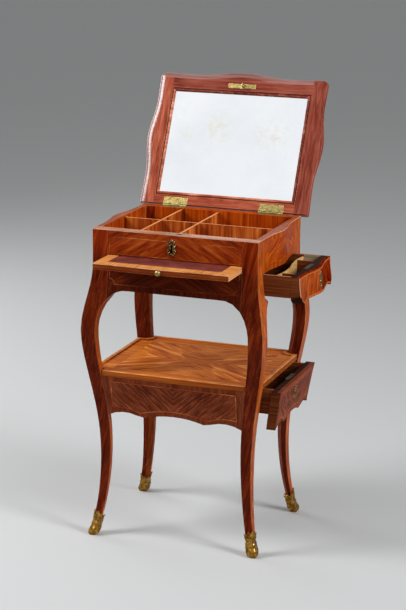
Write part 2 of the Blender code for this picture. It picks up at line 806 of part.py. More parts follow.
def rectangle(half_x, low_y, high_y):
    return [(-half_x, low_y), (half_x, low_y), (half_x, high_y), (-half_x, high_y)]


def make_lid():
    """Lid with the mirror let into its underside behind a bead, and the keep of the lock."""
    lid = finish(board([lid_outline()], LID_THICKNESS, flat_at(LID_UNDER)), "lid_panel", LID, VENEER)
    high_y = HALF_DEPTH - MIRROR_FROM_BACK
    low_y = high_y - MIRROR_HEIGHT
    half_x = MIRROR_WIDTH / 2
    recess_depth = MIRROR_GLASS + MIRROR_BEAD_DEPTH + FIT
    recess = box(
        (-half_x - MIRROR_BEAD, low_y - MIRROR_BEAD, LID_UNDER - PANEL),
        (half_x + MIRROR_BEAD, high_y + MIRROR_BEAD, LID_UNDER + recess_depth + FIT),
    )
    cut(lid, cutter(recess, "mirror_recess", LID))
    border = MIRROR_BEAD - FIT
    glass_under = LID_UNDER + MIRROR_BEAD_DEPTH + FIT
    glass = box(
        (-half_x - border, low_y - border, glass_under),
        (half_x + border, high_y + border, glass_under + MIRROR_GLASS),
    )
    finish(glass, "mirror_glass", LID, MIRROR)
    outer = rectangle(half_x + border, low_y - border, high_y + border)
    inner = rectangle(half_x, low_y, high_y)
    finish(board([outer, inner], MIRROR_BEAD_DEPTH, flat_at(LID_UNDER)), "mirror_bead", LID, VENEER)

    for hand, side in (("left", -1), ("right", 1)):
        seat = leaf_seat(side * HINGE_PLACE, LID_UNDER - LEAF, LID_UNDER + LEAF + FIT)
        cut(lid, cutter(seat, f"lid_leaf_seat_{hand}", LID))
    half, width = KEEP_LENGTH / 2, KEEP_WIDTH / 2
    seat = box(
        (-half - FIT, KEEP_Y - width - FIT, LID_UNDER - KEEP_PLATE),
        (half + FIT, KEEP_Y + width + FIT, LID_UNDER + KEEP_PLATE + FIT),
    )
    cut(lid, cutter(seat, "keep_seat", LID))
    plate = box((-half, KEEP_Y - width, LID_UNDER), (half, KEEP_Y + width, LID_UNDER + KEEP_PLATE))
    keep = finish(plate, "lid_keep", LID, BRASS)
    half_staple = STAPLE_WIDTH / 2
    left, right = STAPLE_PLACE - STAPLE_THICKNESS / 2, STAPLE_PLACE + STAPLE_THICKNESS / 2
    foot = CASE_TOP - STAPLE_LENGTH
    staple_top = LID_UNDER + KEEP_PLATE / 2
    staple = box((left, KEEP_Y - half_staple, foot), (right, KEEP_Y + half_staple, staple_top))
    unite(keep, cutter(staple, "keep_staple", LID))
    half_eye = half_staple - STAPLE_WALL
    eye = box(
        (left - STAPLE_WALL, KEEP_Y - half_eye, foot + STAPLE_WALL),
        (right + STAPLE_WALL, KEEP_Y + half_eye, LID_UNDER - STAPLE_WALL),
    )
    cut(keep, cutter(eye, "keep_eye", LID))


def make_lid_lock():
    """Mortise lock in the front rim, with a bolt that slides sideways through the staple."""
    half = KEEP_LENGTH / 2
    lock = finish(
        box(
            (-half, KEEP_Y - KEEP_WIDTH / 2, CASE_TOP - LID_LOCK_HEIGHT),
            (half, KEEP_Y + KEEP_WIDTH / 2, CASE_TOP),
        ),
        "lid_lock",
        FRAME,
        BRASS,
    )
    play = DRAWER_PLAY / 2
    half_staple = STAPLE_WIDTH / 2 + play
    left = STAPLE_PLACE - STAPLE_THICKNESS / 2 - play
    pocket = box(
        (left, KEEP_Y - half_staple, CASE_TOP - STAPLE_LENGTH - play),
        (STAPLE_PLACE + LID_BOLT_THROW + play, KEEP_Y + half_staple, CASE_TOP + PANEL),
    )
    cut(lock, cutter(pocket, "staple_pocket", FRAME))
    half_bolt = STAPLE_WIDTH / 2 - STAPLE_WALL - play
    tip = left - FIT
    bolt_top = CASE_TOP - LID_BOLT_DEPTH
    bolt_low = bolt_top - LID_BOLT_HEIGHT
    channel = box(
        (tip - LID_BOLT_LENGTH - FIT, KEEP_Y - half_bolt - FIT, bolt_low - FIT),
        (left + FIT, KEEP_Y + half_bolt + FIT, bolt_top + FIT),
    )
    cut(lock, cutter(channel, "lid_bolt_channel", FRAME))
    bolt = box(
        (tip - LID_BOLT_LENGTH, KEEP_Y - half_bolt, bolt_low), (tip, KEEP_Y + half_bolt, bolt_top)
    )
    finish(bolt, "lid_lock_bolt", LID_BOLT, IRON)


def key_plate_outline(scale):
    """Cartouche with waisted sides, leafy at head and foot, and its keyhole."""
    half_width = scale * KEY_PLATE_WIDTH / 2 / KEY_PLATE_FULLNESS
    half_height = scale * KEY_PLATE_HEIGHT / 2
    outline = []
    for n in range(KEY_PLATE_POINTS):
        turn = 2 * math.pi * n / KEY_PLATE_POINTS
        ripple = 1 + KEY_PLATE_LEAVES * math.cos(6 * turn) - KEY_PLATE_WAIST * math.cos(4 * turn)
        outline.append((half_width * math.cos(turn) * ripple, half_height * math.sin(turn)))
    keyhole = []
    for turn in spaced(KEYHOLE_OPENING, 2 * math.pi - KEYHOLE_OPENING, KEYHOLE_POINTS):
        across = KEYHOLE_RADIUS * math.sin(turn)
        keyhole.append((across, KEYHOLE_LENGTH / 4 - KEYHOLE_RADIUS * math.cos(turn)))
    half_slot = KEYHOLE_RADIUS * math.sin(KEYHOLE_OPENING)
    foot = KEYHOLE_LENGTH / 4 - KEYHOLE_LENGTH
    keyhole += [(-half_slot, foot), (half_slot, foot)]
    return [outline, keyhole]


def make_key_plate(name, carrier, place, facing):
    """Key plate standing on a face; facing is the matrix that turns the drawing's axes into the table's."""
    scale = 1 if carrier is FRAME else DRAWER_KEY_PLATE_SCALE
    plate = board(key_plate_outline(scale), KEY_PLATE, Matrix.Translation(place) @ facing)
    finish(plate, name, carrier, BRONZE)


def make_slide():
    """Writing slide with a leather panel let into it and a small turned knob."""
    half = POST_X - FIT
    front = -HALF_DEPTH
    back = front + SLIDE_DEPTH
    outline = []
    for n in range(BOW_STEPS + 1):
        share = 2 * n / BOW_STEPS - 1
        outline.append((share * half, front - bow(share, SLIDE_BOW, BOW_SHARPNESS)))
    outline += [(half, back), (-half, back)]
    slide = finish(board([outline], SLIDE_THICKNESS, flat_at(SLIDE_UNDER)), "slide_board", SLIDE, VENEER)
    low = (LEATHER_BORDER - half, front + LEATHER_BORDER, SLIDE_TOP - LEATHER)
    high = (half - LEATHER_BORDER, back - LEATHER_BORDER, SLIDE_TOP)
    grow = Vector((FIT, FIT, FIT))
    seat = box(Vector(low) - grow, Vector(high) + grow)
    cut(slide, cutter(seat, "leather_seat", SLIDE))
    finish(box(low, high), "slide_leather", SLIDE, LEATHER_FINISH)

    centre = SLIDE_UNDER + KNOB_PLACE
    face = front - SLIDE_BOW
    profile = [(KNOB_COLLAR_RADIUS, 0.0), (KNOB_STEM_RADIUS, KNOB_COLLAR), (KNOB_STEM_RADIUS, KNOB_STEM)]
    half_bulb = (KNOB_LENGTH - KNOB_STEM) / 2
    for turn in spaced(KNOB_BULB_START, KNOB_BULB_END, KNOB_BULB_RINGS):
        profile.append((KNOB_RADIUS * math.sin(turn), KNOB_LENGTH - half_bulb * (1 + math.cos(turn))))
    rings = []
    for radius, along in profile:
        ring = []
        for n in range(ROUND_SIDES):
            turn = 2 * math.pi * n / ROUND_SIDES
            ring.append((radius * math.cos(turn), face - FIT - along, centre + radius * math.sin(turn)))
        rings.append(ring)
    knob = finish(loft(rings), "slide_knob", SLIDE, BRASS)
    knob.data.shade_smooth()


def drawer_box(prefix, carrier, top, under, front_back, back_x):
    """Sides, back and bottom of a drawer; front_back gives where the front's back lies at a height."""
    edge = [(front_back(z) - FIT, z) for z in spaced(under, top, 4)]
    outline = [(back_x, under), *edge, (back_x, top)]
    stand = Matrix.Rotation(math.pi / 2, 4, "X")
    for row, near in (("near", -BOX_HALF), ("far", BOX_HALF - DRAWER_SIDE)):
        side = board([outline], DRAWER_SIDE, Matrix.Translation((0, near + DRAWER_SIDE, 0)) @ stand)
        finish(side, f"{prefix}_{row}_side", carrier, CARCASE)
    inside = BOX_HALF - DRAWER_SIDE - FIT
    back = box((back_x, -inside, under + DRAWER_BOTTOM + FIT), (back_x + DRAWER_SIDE, inside, top))
    finish(back, f"{prefix}_back", carrier, CARCASE)
    reach = min(front_back(under), front_back(under + DRAWER_BOTTOM)) - FIT
    bottom = box((back_x, -inside, under), (reach, inside, under + DRAWER_BOTTOM))
    finish(bottom, f"{prefix}_bottom", carrier, CARCASE)


def drawer_lock(prefix, front, carrier, bolt_carrier, x, top):
    """Lock let into the back of a drawer front, with a bolt that rises through the top edge."""
    half_lock = DRAWER_LOCK_WIDTH / 2
    half_depth = DRAWER_LOCK_DEPTH / 2
    low = top - DRAWER_LOCK_HEIGHT
    room = box(
        (x - half_depth - DRAWER_FRONT, -half_lock - FIT, low - FIT),
        (x + half_depth + FIT, half_lock + FIT, top + DRAWER_FRONT),
    )
    cut(front, cutter(room, f"{prefix}_lock_room", carrier))
    case = box((x - half_depth, -half_lock, low), (x + half_depth, half_lock, top))
    lock = finish(case, f"{prefix}_lock", carrier, BRASS)
    half_y, half_x = DRAWER_BOLT_WIDTH / 2, DRAWER_BOLT_THICKNESS / 2
    foot = top - DRAWER_BOLT_LENGTH - FIT
    channel = box(
        (x - half_x - FIT, -half_y - FIT, foot - FIT), (x + half_x + FIT, half_y + FIT, top + MORTISE_DEPTH)
    )
    cut(lock, cutter(channel, f"{prefix}_bolt_channel", carrier))
    bolt = box((x - half_x, -half_y, foot), (x + half_x, half_y, top - FIT))
    finish(bolt, f"{prefix}_bolt", bolt_carrier, IRON)


def outward(slope):
    """Turn a drawing's x, y and thickness into the table's y, z and +x, leaning with a face."""
    lean = math.atan(slope)
    return Matrix.Rotation(-lean, 4, "Y") @ Matrix(((0, 0, 1, 0), (1, 0, 0, 0), (0, 1, 0, 0), (0, 0, 0, 1)))


def face_slope(z):
    """How fast the leg line moves out per height, about the middle of a key plate."""
    half = KEY_PLATE_HEIGHT / 2
    return (leg_line(z - half) - leg_line(z + half)) / (2 * half)


def highest_stand(z, slope):
    """How far the leg line stands proud of its own slope over a key plate's height."""
    half = DRAWER_KEY_PLATE_SCALE * KEY_PLATE_HEIGHT / 2
    return max(leg_line(z + step) + slope * step for step in spaced(-half, half, 6))


def make_upper_drawer():
    """Drawer with an arched and bowed front, a long pen space and three small wells."""

    def end(z):
        return HALF_DEPTH - bracket_inside(z) - DRAWER_PLAY

    def face(across, up):
        low = ARCH_TOP
        for _ in range(EDGE_ROUNDS):
            low = arch_under(across * end(low), HALF_DEPTH)
        z = low + (UPPER_TOP - low) * up
        along = across * end(z)
        return (side_face(along, z), along, z)

    def back(across, up):
        _, along, z = face(across, up)
        return (HALF_WIDTH - DRAWER_FRONT, along, z)

    panel = shaped_panel(BOW_STEPS, PANEL_ROWS, face, back)
    front = finish(panel, "upper_drawer_front", UPPER_DRAWER, VENEER)
    drawer_lock("upper_drawer", front, UPPER_DRAWER, UPPER_BOLT, UPPER_LOCK_X, UPPER_TOP)
    back_x = -INSIDE_X + DRAWER_BACK_GAP
    front_back = HALF_WIDTH - DRAWER_FRONT
    drawer_box("upper_drawer", UPPER_DRAWER, UPPER_TOP, UPPER_SIDE_UNDER, lambda z: front_back, back_x)

    inside = BOX_HALF - DRAWER_SIDE - FIT
    low = UPPER_SIDE_UNDER + DRAWER_BOTTOM + FIT
    height = UPPER_TOP - DIVIDER_DROP - low
    middle = front_back - FRONT_WELL

    def wave(y):
        return middle + PEN_WALL_WAVE * math.cos(math.pi * (y / inside + PEN_WALL_PHASE))

    ys = spaced(-inside, inside, BOW_STEPS)
    outline = [(wave(y), y) for y in ys]
    outline += [(wave(y) - PEN_SPACE_WALL, y) for y in reversed(ys)]
    finish(board([outline], height, flat_at(low)), "upper_drawer_pen_wall", UPPER_DRAWER, PALE_WOOD)
    for row, y in (("near", END_WELL - inside), ("far", inside - END_WELL)):
        half = DIVIDER / 2
        start = max(wave(y - half), wave(y), wave(y + half)) + FIT
        divider = box((start, y - half, low), (front_back - FIT, y + half, low + height))
        finish(divider, f"upper_drawer_{row}_divider", UPPER_DRAWER, PALE_WOOD)

    z = (UPPER_TOP + ARCH_TOP) / 2
    slope = face_slope(z)
    place = (side_face(0, z) - leg_line(z) + highest_stand(z, slope) + FIT, 0, z)
    make_key_plate("upper_drawer_escutcheon", UPPER_DRAWER, place, outward(slope))


def make_lower_drawer():
    """Drawer under the shelf, its scalloped front leaning in with the legs."""
    front = lower_panel(
        "lower_drawer_front",
        LOWER_DRAWER,
        HALF_DEPTH,
        HALF_WIDTH,
        LOWER_TOP,
        DRAWER_FRONT,
        DRAWER_PLAY,
        to_right,
    )
    drawer_lock("lower_drawer", front, LOWER_DRAWER, LOWER_BOLT, LOWER_LOCK_X, LOWER_TOP)
    drawer_box(
        "lower_drawer",
        LOWER_DRAWER,
        LOWER_TOP,
        LOWER_SIDE_UNDER,
        lambda z: HALF_WIDTH + leg_line(z) - DRAWER_FRONT,
        -HALF_WIDTH - leg_line(LOWER_BASE) + LOWER_APRON + DRAWER_BACK_GAP,
    )
    z = (LOWER_TOP + LOWER_BASE + CENTRE_ARC_RISE) / 2
    slope = face_slope(z)
    place = (HALF_WIDTH + highest_stand(z, slope) + FIT, 0, z)
    make_key_plate("lower_drawer_escutcheon", LOWER_DRAWER, place, outward(slope))


for old in list(bpy.data.objects):
    bpy.data.objects.remove(old)

PARTS = collection("writing_table")
CUTTERS = collection("cutters")

VENEER = material("tulipwood_veneer", TULIPWOOD, 0.35)
CARCASE = material("carcase_oak", OAK, 0.55)
PALE_WOOD = material("pale_wood", LIGHT_WOOD, 0.5)
BRASS = material("brass", GILT, 0.35, 1.0)
BRONZE = material("gilt_bronze", GILT, 0.3, 1.0)
IRON = material("bolt_iron", STEEL, 0.4, 1.0)
LEATHER_FINISH = material("red_leather", HIDE, 0.5)
MIRROR = material("mirror", SILVERING, 0.03, 1.0)

# The table stands with the middle of its opened bounds over the origin.
RIGHT_REACH = HALF_WIDTH + SIDE_BOW + leg_line(ARCH_TOP) + UPPER_DRAWER_OUT
LEFT_REACH = LID_HALF + LID_BOW
FRONT_REACH = HALF_DEPTH + SLIDE_BOW + SLIDE_OUT + KNOB_LENGTH
LID_REACH = HINGE_Y - LID_FRONT + LID_BOW
REAR_REACH = (
    HINGE_Y + LID_REACH * math.cos(math.pi - LID_OPENING) + LID_THICKNESS * math.sin(LID_OPENING)
)
ROOT = body("writing_table_root", ((LEFT_REACH - RIGHT_REACH) / 2, (FRONT_REACH - REAR_REACH) / 2, 0))

UPPER_LOCK_X = HALF_WIDTH - DRAWER_FRONT + DRAWER_LOCK_DEPTH / 2
LOWER_LOCK_X = UPPER_LOCK_X + leg_line(LOWER_TOP - DRAWER_LOCK_HEIGHT / 2)

FRAME = body("frame", parent=ROOT)
HINGE_POINT = (0, HINGE_Y, HINGE_Z)
LID = body("lid", HINGE_POINT, HINGE_POINT, -LID_OPENING, ROOT)
LID_BOLT = body("lid_bolt", parent=ROOT)
SLIDE = body("writing_slide", (0, -SLIDE_OUT, 0), parent=ROOT)
UPPER_DRAWER = body("upper_drawer", (UPPER_DRAWER_OUT, 0, 0), parent=ROOT)
UPPER_BOLT = body("upper_bolt", parent=UPPER_DRAWER)
LOWER_DRAWER = body("lower_drawer", (LOWER_DRAWER_OUT, 0, 0), parent=ROOT)
LOWER_BOLT = body("lower_bolt", parent=LOWER_DRAWER)

COMPARTMENT_SPACE = cutter(
    box((-CELLS_X, -INSIDE_Y, FLOOR_UNDER - FIT), (CELLS_X, INSIDE_Y, CASE_TOP + PANEL)),
    "compartment_space",
    FRAME,
)
make_legs()
make_case()
make_shelf()
make_hinges()
make_lid()
make_lid_lock()
upright = Matrix.Rotation(math.pi / 2, 4, "X")
KEY_PLATE_Z = (CASE_TOP + FLOOR_UNDER) / 2 - KEY_PLATE_DROP
make_key_plate("front_escutcheon", FRAME, (-KEY_PLATE_ASIDE, -HALF_DEPTH - FIT, KEY_PLATE_Z), upright)
make_slide()
make_upper_drawer()
make_lower_drawer()
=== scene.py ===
"""Looks of the writing table: veneers, inlay, gilt mounts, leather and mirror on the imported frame."""

import json
from math import asin, atan2, ceil, cos, degrees, dist, exp, hypot, inf, pi, radians, remainder, sin, sqrt

import bmesh
import bpy
import numpy
from mathutils import Matrix, Vector
from mathutils.bvhtree import BVHTree
from mathutils.geometry import intersect_point_line


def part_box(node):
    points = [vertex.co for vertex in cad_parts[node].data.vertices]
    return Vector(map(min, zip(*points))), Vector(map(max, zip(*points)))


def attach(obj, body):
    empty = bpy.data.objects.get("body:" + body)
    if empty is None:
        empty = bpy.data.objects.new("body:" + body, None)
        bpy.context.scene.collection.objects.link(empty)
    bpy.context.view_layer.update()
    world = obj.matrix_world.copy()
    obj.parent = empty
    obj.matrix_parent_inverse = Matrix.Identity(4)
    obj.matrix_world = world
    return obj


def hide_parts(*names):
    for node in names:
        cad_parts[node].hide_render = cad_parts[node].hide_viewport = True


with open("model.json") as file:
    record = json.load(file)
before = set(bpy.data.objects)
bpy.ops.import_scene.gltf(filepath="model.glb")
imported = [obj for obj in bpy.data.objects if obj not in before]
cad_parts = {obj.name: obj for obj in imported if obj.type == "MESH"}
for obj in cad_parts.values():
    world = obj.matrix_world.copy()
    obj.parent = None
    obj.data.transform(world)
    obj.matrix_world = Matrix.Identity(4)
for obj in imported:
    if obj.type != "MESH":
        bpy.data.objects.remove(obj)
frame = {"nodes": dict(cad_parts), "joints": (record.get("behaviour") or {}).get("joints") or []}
SCENE = bpy.context.scene
NODES = frame["nodes"]
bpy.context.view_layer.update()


def middle_of(node):
    return sum(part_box(node), Vector()) / 2


def half_of(node):
    low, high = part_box(node)
    return (high - low) / 2


CENTRE = Vector((*middle_of("shelf_board").xy, 0))


def clamp(share):
    return min(max(share, 0), 1)


def local_box(node):
    """Corners of a node's box, from the table's middle."""
    low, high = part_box(node)
    return low - CENTRE, high - CENTRE


# Shader nodes and kinds of finish

FINISHES = {}
STOPS = (0.30, 0.45, 0.57, 0.72)
# Tone and reach of the pale edges: partly wear, partly painted highlight.
WEAR_AND_HIGHLIGHT_TONE, WEAR_AND_HIGHLIGHT_REACH = "e8a470", 0.0016
FIBRE = (0.045, 0.0007)
FOXING = (
    ((-0.045, 0.245, 0.853), 0.060),
    ((0.085, 0.245, 0.846), 0.055),
    ((-0.115, 0.240, 0.838), 0.035),
    ((-0.020, 0.215, 0.775), 0.020),
)


def linear(tone):
    """Scene colour from a display colour in hex digits."""
    parts = []
    for value in bytes.fromhex(tone):
        share = value / 255
        parts.append(share / 12.92 if share <= 0.04045 else ((share + 0.055) / 1.055) ** 2.4)
    return (*parts, 1)


def put(node, values):
    """Link or set a node's sockets."""
    for key, value in values.items():
        if isinstance(value, bpy.types.NodeSocket):
            node.id_data.links.new(value, node.inputs[key])
        else:
            node.inputs[key].default_value = value


def add(kind, values, tree=None, **settings):
    """Outputs of a new node, in the tree given or that of a socket among its values."""
    tree = tree or next(v.id_data for v in values.values() if isinstance(v, bpy.types.NodeSocket))
    made = tree.nodes.new("ShaderNode" + kind)
    for name, value in settings.items():
        setattr(made, name, value)
    put(made, values)
    return made.outputs


def maths(operation, first, second=0.0, third=0.0):
    return add("Math", {0: first, 1: second, 2: third}, operation=operation)[0]


def times(first, second):
    return maths("MULTIPLY", first, second)


def weighted(*parts):
    """Sum of values, each with its weight."""
    total = 0.0
    for value, weight in parts:
        total = maths("MULTIPLY_ADD", value, weight, total)
    return total


def mix(share, first, second):
    return add("Mix", {0: share, 6: first, 7: second}, data_type="RGBA")[2]


def noise(place, scale=1.0, detail=3.0, roughness=0.55, distortion=0.0):
    values = {"Vector": place, "Scale": scale, "Detail": detail, "Roughness": roughness}
    return add("TexNoise", values | {"Distortion": distortion})[0]


def ramp(share, stops):
    colours = add("ValToRGB", {0: share})[0]
    points = colours.node.color_ramp.elements
    while len(points) < len(stops):
        points.new(1)
    for point, (position, colour) in zip(points, stops):
        point.position = position
        point.color = colour
    return colours


def toned(share, tones):
    return ramp(share, [(at, linear(tone)) for at, tone in zip(STOPS, tones.split())])


def greys(share, *stops):
    return ramp(share, [(at, (value, value, value, 1)) for at, value in stops])


def new_finish(name):
    """New finish, its coordinates, and the place of a point among them."""
    made = FINISHES[name] = bpy.data.materials.new(name)
    made.use_nodes = True
    points = add("TexCoord", {}, made.node_tree)
    return made, points, points["Object"]


def finish(made, colour, shine, relief=None, **others):
    """Set the shader's sockets; relief is the strength, depth and height of small bumps."""
    values = {"Base Color": colour, "Roughness": shine} | others
    if relief:
        values["Normal"] = add("Bump", dict(zip(("Strength", "Distance", "Height"), relief)))[0]
    put(made.node_tree.nodes["Principled BSDF"], values)


def folded(place, axes):
    """Coordinates mirrored about middle planes, for book-matched and quartered veneer."""
    values = dict(enumerate(add("SeparateXYZ", {0: place})))
    for axis, middle in axes.items():
        values[axis] = maths("ABSOLUTE", maths("SUBTRACT", values[axis], middle))
    return add("CombineXYZ", values)[0]


def stretched(place, grain, length, width):
    angles = [radians(angle) for angle in grain]
    values = {"Vector": place, "Rotation": angles, "Scale": (length, width, width)}
    return add("Mapping", values, vector_type="TEXTURE")[0]


def part(place, axis):
    return add("SeparateXYZ", {0: place})[axis]


def by_lit_side(points):
    """0 on faces to the front or back, 1 on those to the left or right, whose lighter tones are painted
    light.
    """
    across, along = (maths("ABSOLUTE", part(points["Normal"], axis)) for axis in (0, 1))
    return greys(maths("ADD", maths("SUBTRACT", across, along), 0.5), (0.35, 0), (0.65, 1))


def by_level(points):
    """1 on faces that look up or down, 0 on upright ones."""
    return greys(maths("ABSOLUTE", part(points["Normal"], 2)), (0.10, 0), (0.25, 1))


def by_well(points):
    """1 on faces that look to the front, to the right of the upper drawer's pen wall."""
    front = greys(times(part(points["Normal"], 1), -1), (0.4, 0), (0.6, 1))
    wall = middle_of("upper_drawer_pen_wall").x
    return times(front, maths("GREATER_THAN", part(points["Object"], 0), wall))


def by_height(points):
    """0 on the legs, rising to 1 at the top of the case's corner posts; the darker legs below are painted
    shade.
    """
    return greys(part(points["Object"], 2), (0.58, 0), (0.67, 1))


def worn_and_highlit_edges(place):
    """Share of pale edges, patchy: partly wear, partly a painted highlight along sharp edges."""
    soft = add("Bevel", {"Radius": WEAR_AND_HIGHLIGHT_REACH}, place.id_data)[0]
    plain = add("NewGeometry", {}, place.id_data)["Normal"]
    turn = add("VectorMath", {0: soft, 1: plain}, operation="DOT_PRODUCT")["Value"]
    patchy = greys(noise(place, scale=45), (0.35, 0.35), (0.65, 1))
    return times(greys(turn, (0.84, 1), (0.97, 0)), patchy)


def wood(name, tones, grain, streak=(0.30, 0.007), folds=None, gloss=0.30, coat=0.04, contrast=1.0,
         distortion=0.35, layers=(), wear_and_highlight=0.0, specular=0.03, coat_roughness=0.14):
    """Polished wood, streaked along the grain, which is the local X axis turned by angles.

    Each of the layers gives other tones, and how they are spread.
    """
    made, points, place = new_finish(name)
    if folds:
        place = folded(place, folds)
    broad = noise(stretched(place, grain, *streak), detail=4, roughness=0.6, distortion=distortion)
    fine = noise(stretched(place, grain, *FIBRE), detail=2)
    cloud = noise(place, scale=14, detail=2)
    figure = weighted((broad, 0.62), (fine, 0.22), (cloud, 0.16))
    figure = maths("MULTIPLY_ADD", maths("SUBTRACT", figure, 0.5), contrast, 0.5)
    colour = toned(figure, tones)
    for other_tones, share in layers:
        colour = mix(share(points), colour, toned(figure, other_tones))
    # Pale edges: partly wear, partly painted highlight.
    if wear_and_highlight:
        colour = mix(times(worn_and_highlit_edges(place), wear_and_highlight), colour, linear(WEAR_AND_HIGHLIGHT_TONE))
    shine = greys(fine, (0.3, gloss + 0.12), (0.7, gloss))
    polish = {"Specular IOR Level": specular, "Coat Weight": coat, "Coat Roughness": coat_roughness}
    finish(made, colour, shine, (0.12, 0.0004, fine), **polish)


def metal(name, tones, roughness, scale=220.0, pits=0.0004):
    """Cast or rolled brass, mottled by age, dull in its hollows."""
    made, _, place = new_finish(name)
    mottle = noise(place, scale=scale, detail=4, roughness=0.65)
    fine = noise(place, scale=scale * 6, detail=2)
    colour = toned(weighted((mottle, 0.75), (fine, 0.25)), tones)
    shine = greys(mottle, (0.3, roughness + 0.2), (0.65, roughness))
    finish(made, colour, shine, (0.35, pits, mottle), Metallic=1.0)


def leather(name, tones):
    made, _, place = new_finish(name)
    grain = add("TexVoronoi", {"Vector": place, "Scale": 900.0})["Distance"]
    worn = noise(place, scale=18, detail=5, roughness=0.65)
    fine = noise(place, scale=300, detail=2)
    colour = toned(weighted((worn, 0.8), (fine, 0.2)), tones)
    finish(made, colour, greys(worn, (0.3, 0.42), (0.7, 0.62)), (0.35, 0.0003, grain))


def mirror(name):
    """Old silvered glass, a little cloudy and foxed."""
    made, _, place = new_finish(name)
    spots = noise(place, scale=60, detail=5, roughness=0.75)
    clear = mix(noise(place, scale=9), linear("e2e8f0"), linear("f8f9fa"))
    fox = 0.05
    for spot, reach in FOXING:
        away = add("VectorMath", {0: place, 1: CENTRE + Vector(spot)}, operation="DISTANCE")["Value"]
        fox = maths("MAXIMUM", fox, greys(maths("DIVIDE", away, reach), (0.2, 0.5), (1, 0)))
    fox = times(fox, greys(spots, (0.44, 0), (0.66, 1)))
    colour = mix(fox, clear, linear("dacea0"))
    finish(made, colour, greys(spots, (0.4, 0.05), (0.75, 0.16)), Metallic=1.0)


# Tones and finishes

# Apron under the slide: darker tones as painted shade, the slide's shadow.
SHADED_APRON_TONES = "280801 421103 581d06 72320f"
SIDE_TONES = "621a02 903306 b04b0b ce6c1e"
SHELF_TONES = "7e360c b0581a cc742a e4984c"
LID_TONES = "541e14 743225 8c4636 a4604e"
PALER_LID_TONES = "682617 90402b aa583f c2765c"
INSIDE_TONES = "541806 8e3a11 b85c22 d48440"
OAK_TONES = "3a1809 5d2a12 793f1e 985b32"
LEVEL_SHADE_TONES = "160804 240e07 32170c 422213"
BORDER_TONES = "8e4c1c be7438 d69252 ecb67e"
CHEVRON_TONES = "3e1308 5e2612 7a391f 9a5634"
DRAWER_CHEVRON_TONES = "481a0c 70301a 8a4228 a65e3e"

FOLD_X, FOLD_Y = {0: CENTRE.x}, {1: CENTRE.y}
UP, ALONG_X, ALONG_Y = (0, -90, 0), (0, 0, 0), (0, 0, 90)
DULL = {"coat": 0.0, "specular": 0.01}
PLAIN_OAK = {"gloss": 0.5, "coat": 0.0, "streak": (0.25, 0.004)}
DRAWER_FIGURE = {"folds": FOLD_Y, "streak": (0.08, 0.012), "distortion": 1.6}

# Legs: lighter tones on the left and right faces and at the top of the posts are painted light; the darker
# legs below the case are painted shade.
wood("leg_veneer", "340a01 4e1303 662007 823612", (0, -78, 0), (0.16, 0.007), wear_and_highlight=0.8, distortion=0.9,
     contrast=1.35, layers=(("4e1001 701d02 8a2e07 a64a16", by_height),
     ("682408 923e12 ae541e c67234", by_lit_side)))
wood("apron_crossband", SHADED_APRON_TONES, UP)
wood("apron_field", SHADED_APRON_TONES, (0, 28, 0), (0.14, 0.009), FOLD_X, distortion=1.0)
wood("front_field", "501504 782708 963a0f b25820", (0, 28, 0), (0.09, 0.014), FOLD_X, distortion=1.6,
     contrast=1.3)
wood("side_crossband", SIDE_TONES, UP)
wood("side_field", SIDE_TONES, (0, 30, 90), (0.1, 0.012), FOLD_Y, distortion=1.5, contrast=1.4)
wood("drawer_field", "5c1a03 863106 a2470c be6620", (0, 62, 90), contrast=1.4, **DRAWER_FIGURE)
# Darker copy of the drawer field, for the far half of the upper drawer's front and its top edge: painted
# shade.
wood("drawer_far_field", "3e0a01 601604 7e2609 a2481c", (0, 62, 90), contrast=1.5, coat=0.0, specular=0.0,
     **DRAWER_FIGURE)
wood("lower_crossband", CHEVRON_TONES, UP, contrast=0.8)
wood("lower_side_crossband", DRAWER_CHEVRON_TONES, UP, contrast=0.8, **DULL)
wood("chevron_front", CHEVRON_TONES, (0, -42, 0), (0.3, 0.0045), FOLD_X, contrast=1.3)
wood("chevron_side", DRAWER_CHEVRON_TONES, (0, -42, 90), (0.3, 0.0045), FOLD_Y, contrast=2.0, **DULL)
wood("shelf_veneer", "60280a 884014 a25620 be763c", ALONG_X, gloss=0.40, coat=0.0, wear_and_highlight=0.6,
     layers=((SHELF_TONES, by_level),))
wood("shelf_field", SHELF_TONES, (0, 0, 34), (0.15, 0.022), FOLD_X | FOLD_Y, gloss=0.40, coat=0.0,
     distortion=1.9, contrast=1.6)
# Pale lines: painted highlights on the shelf's and slide's edges; also the slide's mitre joints.
wood("shelf_line", "a86236 ce8e5c e6b280 f6d0a8", ALONG_X, (0.03, 0.01), contrast=1.4)
wood("string_boxwood", "844012 ac6022 c47832 d89650", ALONG_X)
wood("faint_string", "6c280b 863a13 a05222 ce864c", ALONG_X, (0.06, 0.03), contrast=1.5)
wood("shaded_apron_string", "360e03 4e1c08 682e12 a86234", ALONG_X, (0.05, 0.03), contrast=1.6)
# Faces of the lid to the left and right get lighter tones: painted light.
wood("lid_mahogany", LID_TONES, ALONG_X, (0.16, 0.009), contrast=1.25, distortion=1.4, wear_and_highlight=0.45,
     layers=(("8c542c b07444 cc9462 e2b488", by_lit_side),))
wood("striped_lining", INSIDE_TONES, UP, (0.5, 0.016), contrast=1.5, gloss=0.38,
     layers=(("4c1806 7a320f 9c4e1d b87036", by_level),))
wood("lining_floor", INSIDE_TONES, ALONG_X, (0.3, 0.012), gloss=0.38)
wood("drawer_oak", OAK_TONES, ALONG_X, **PLAIN_OAK)
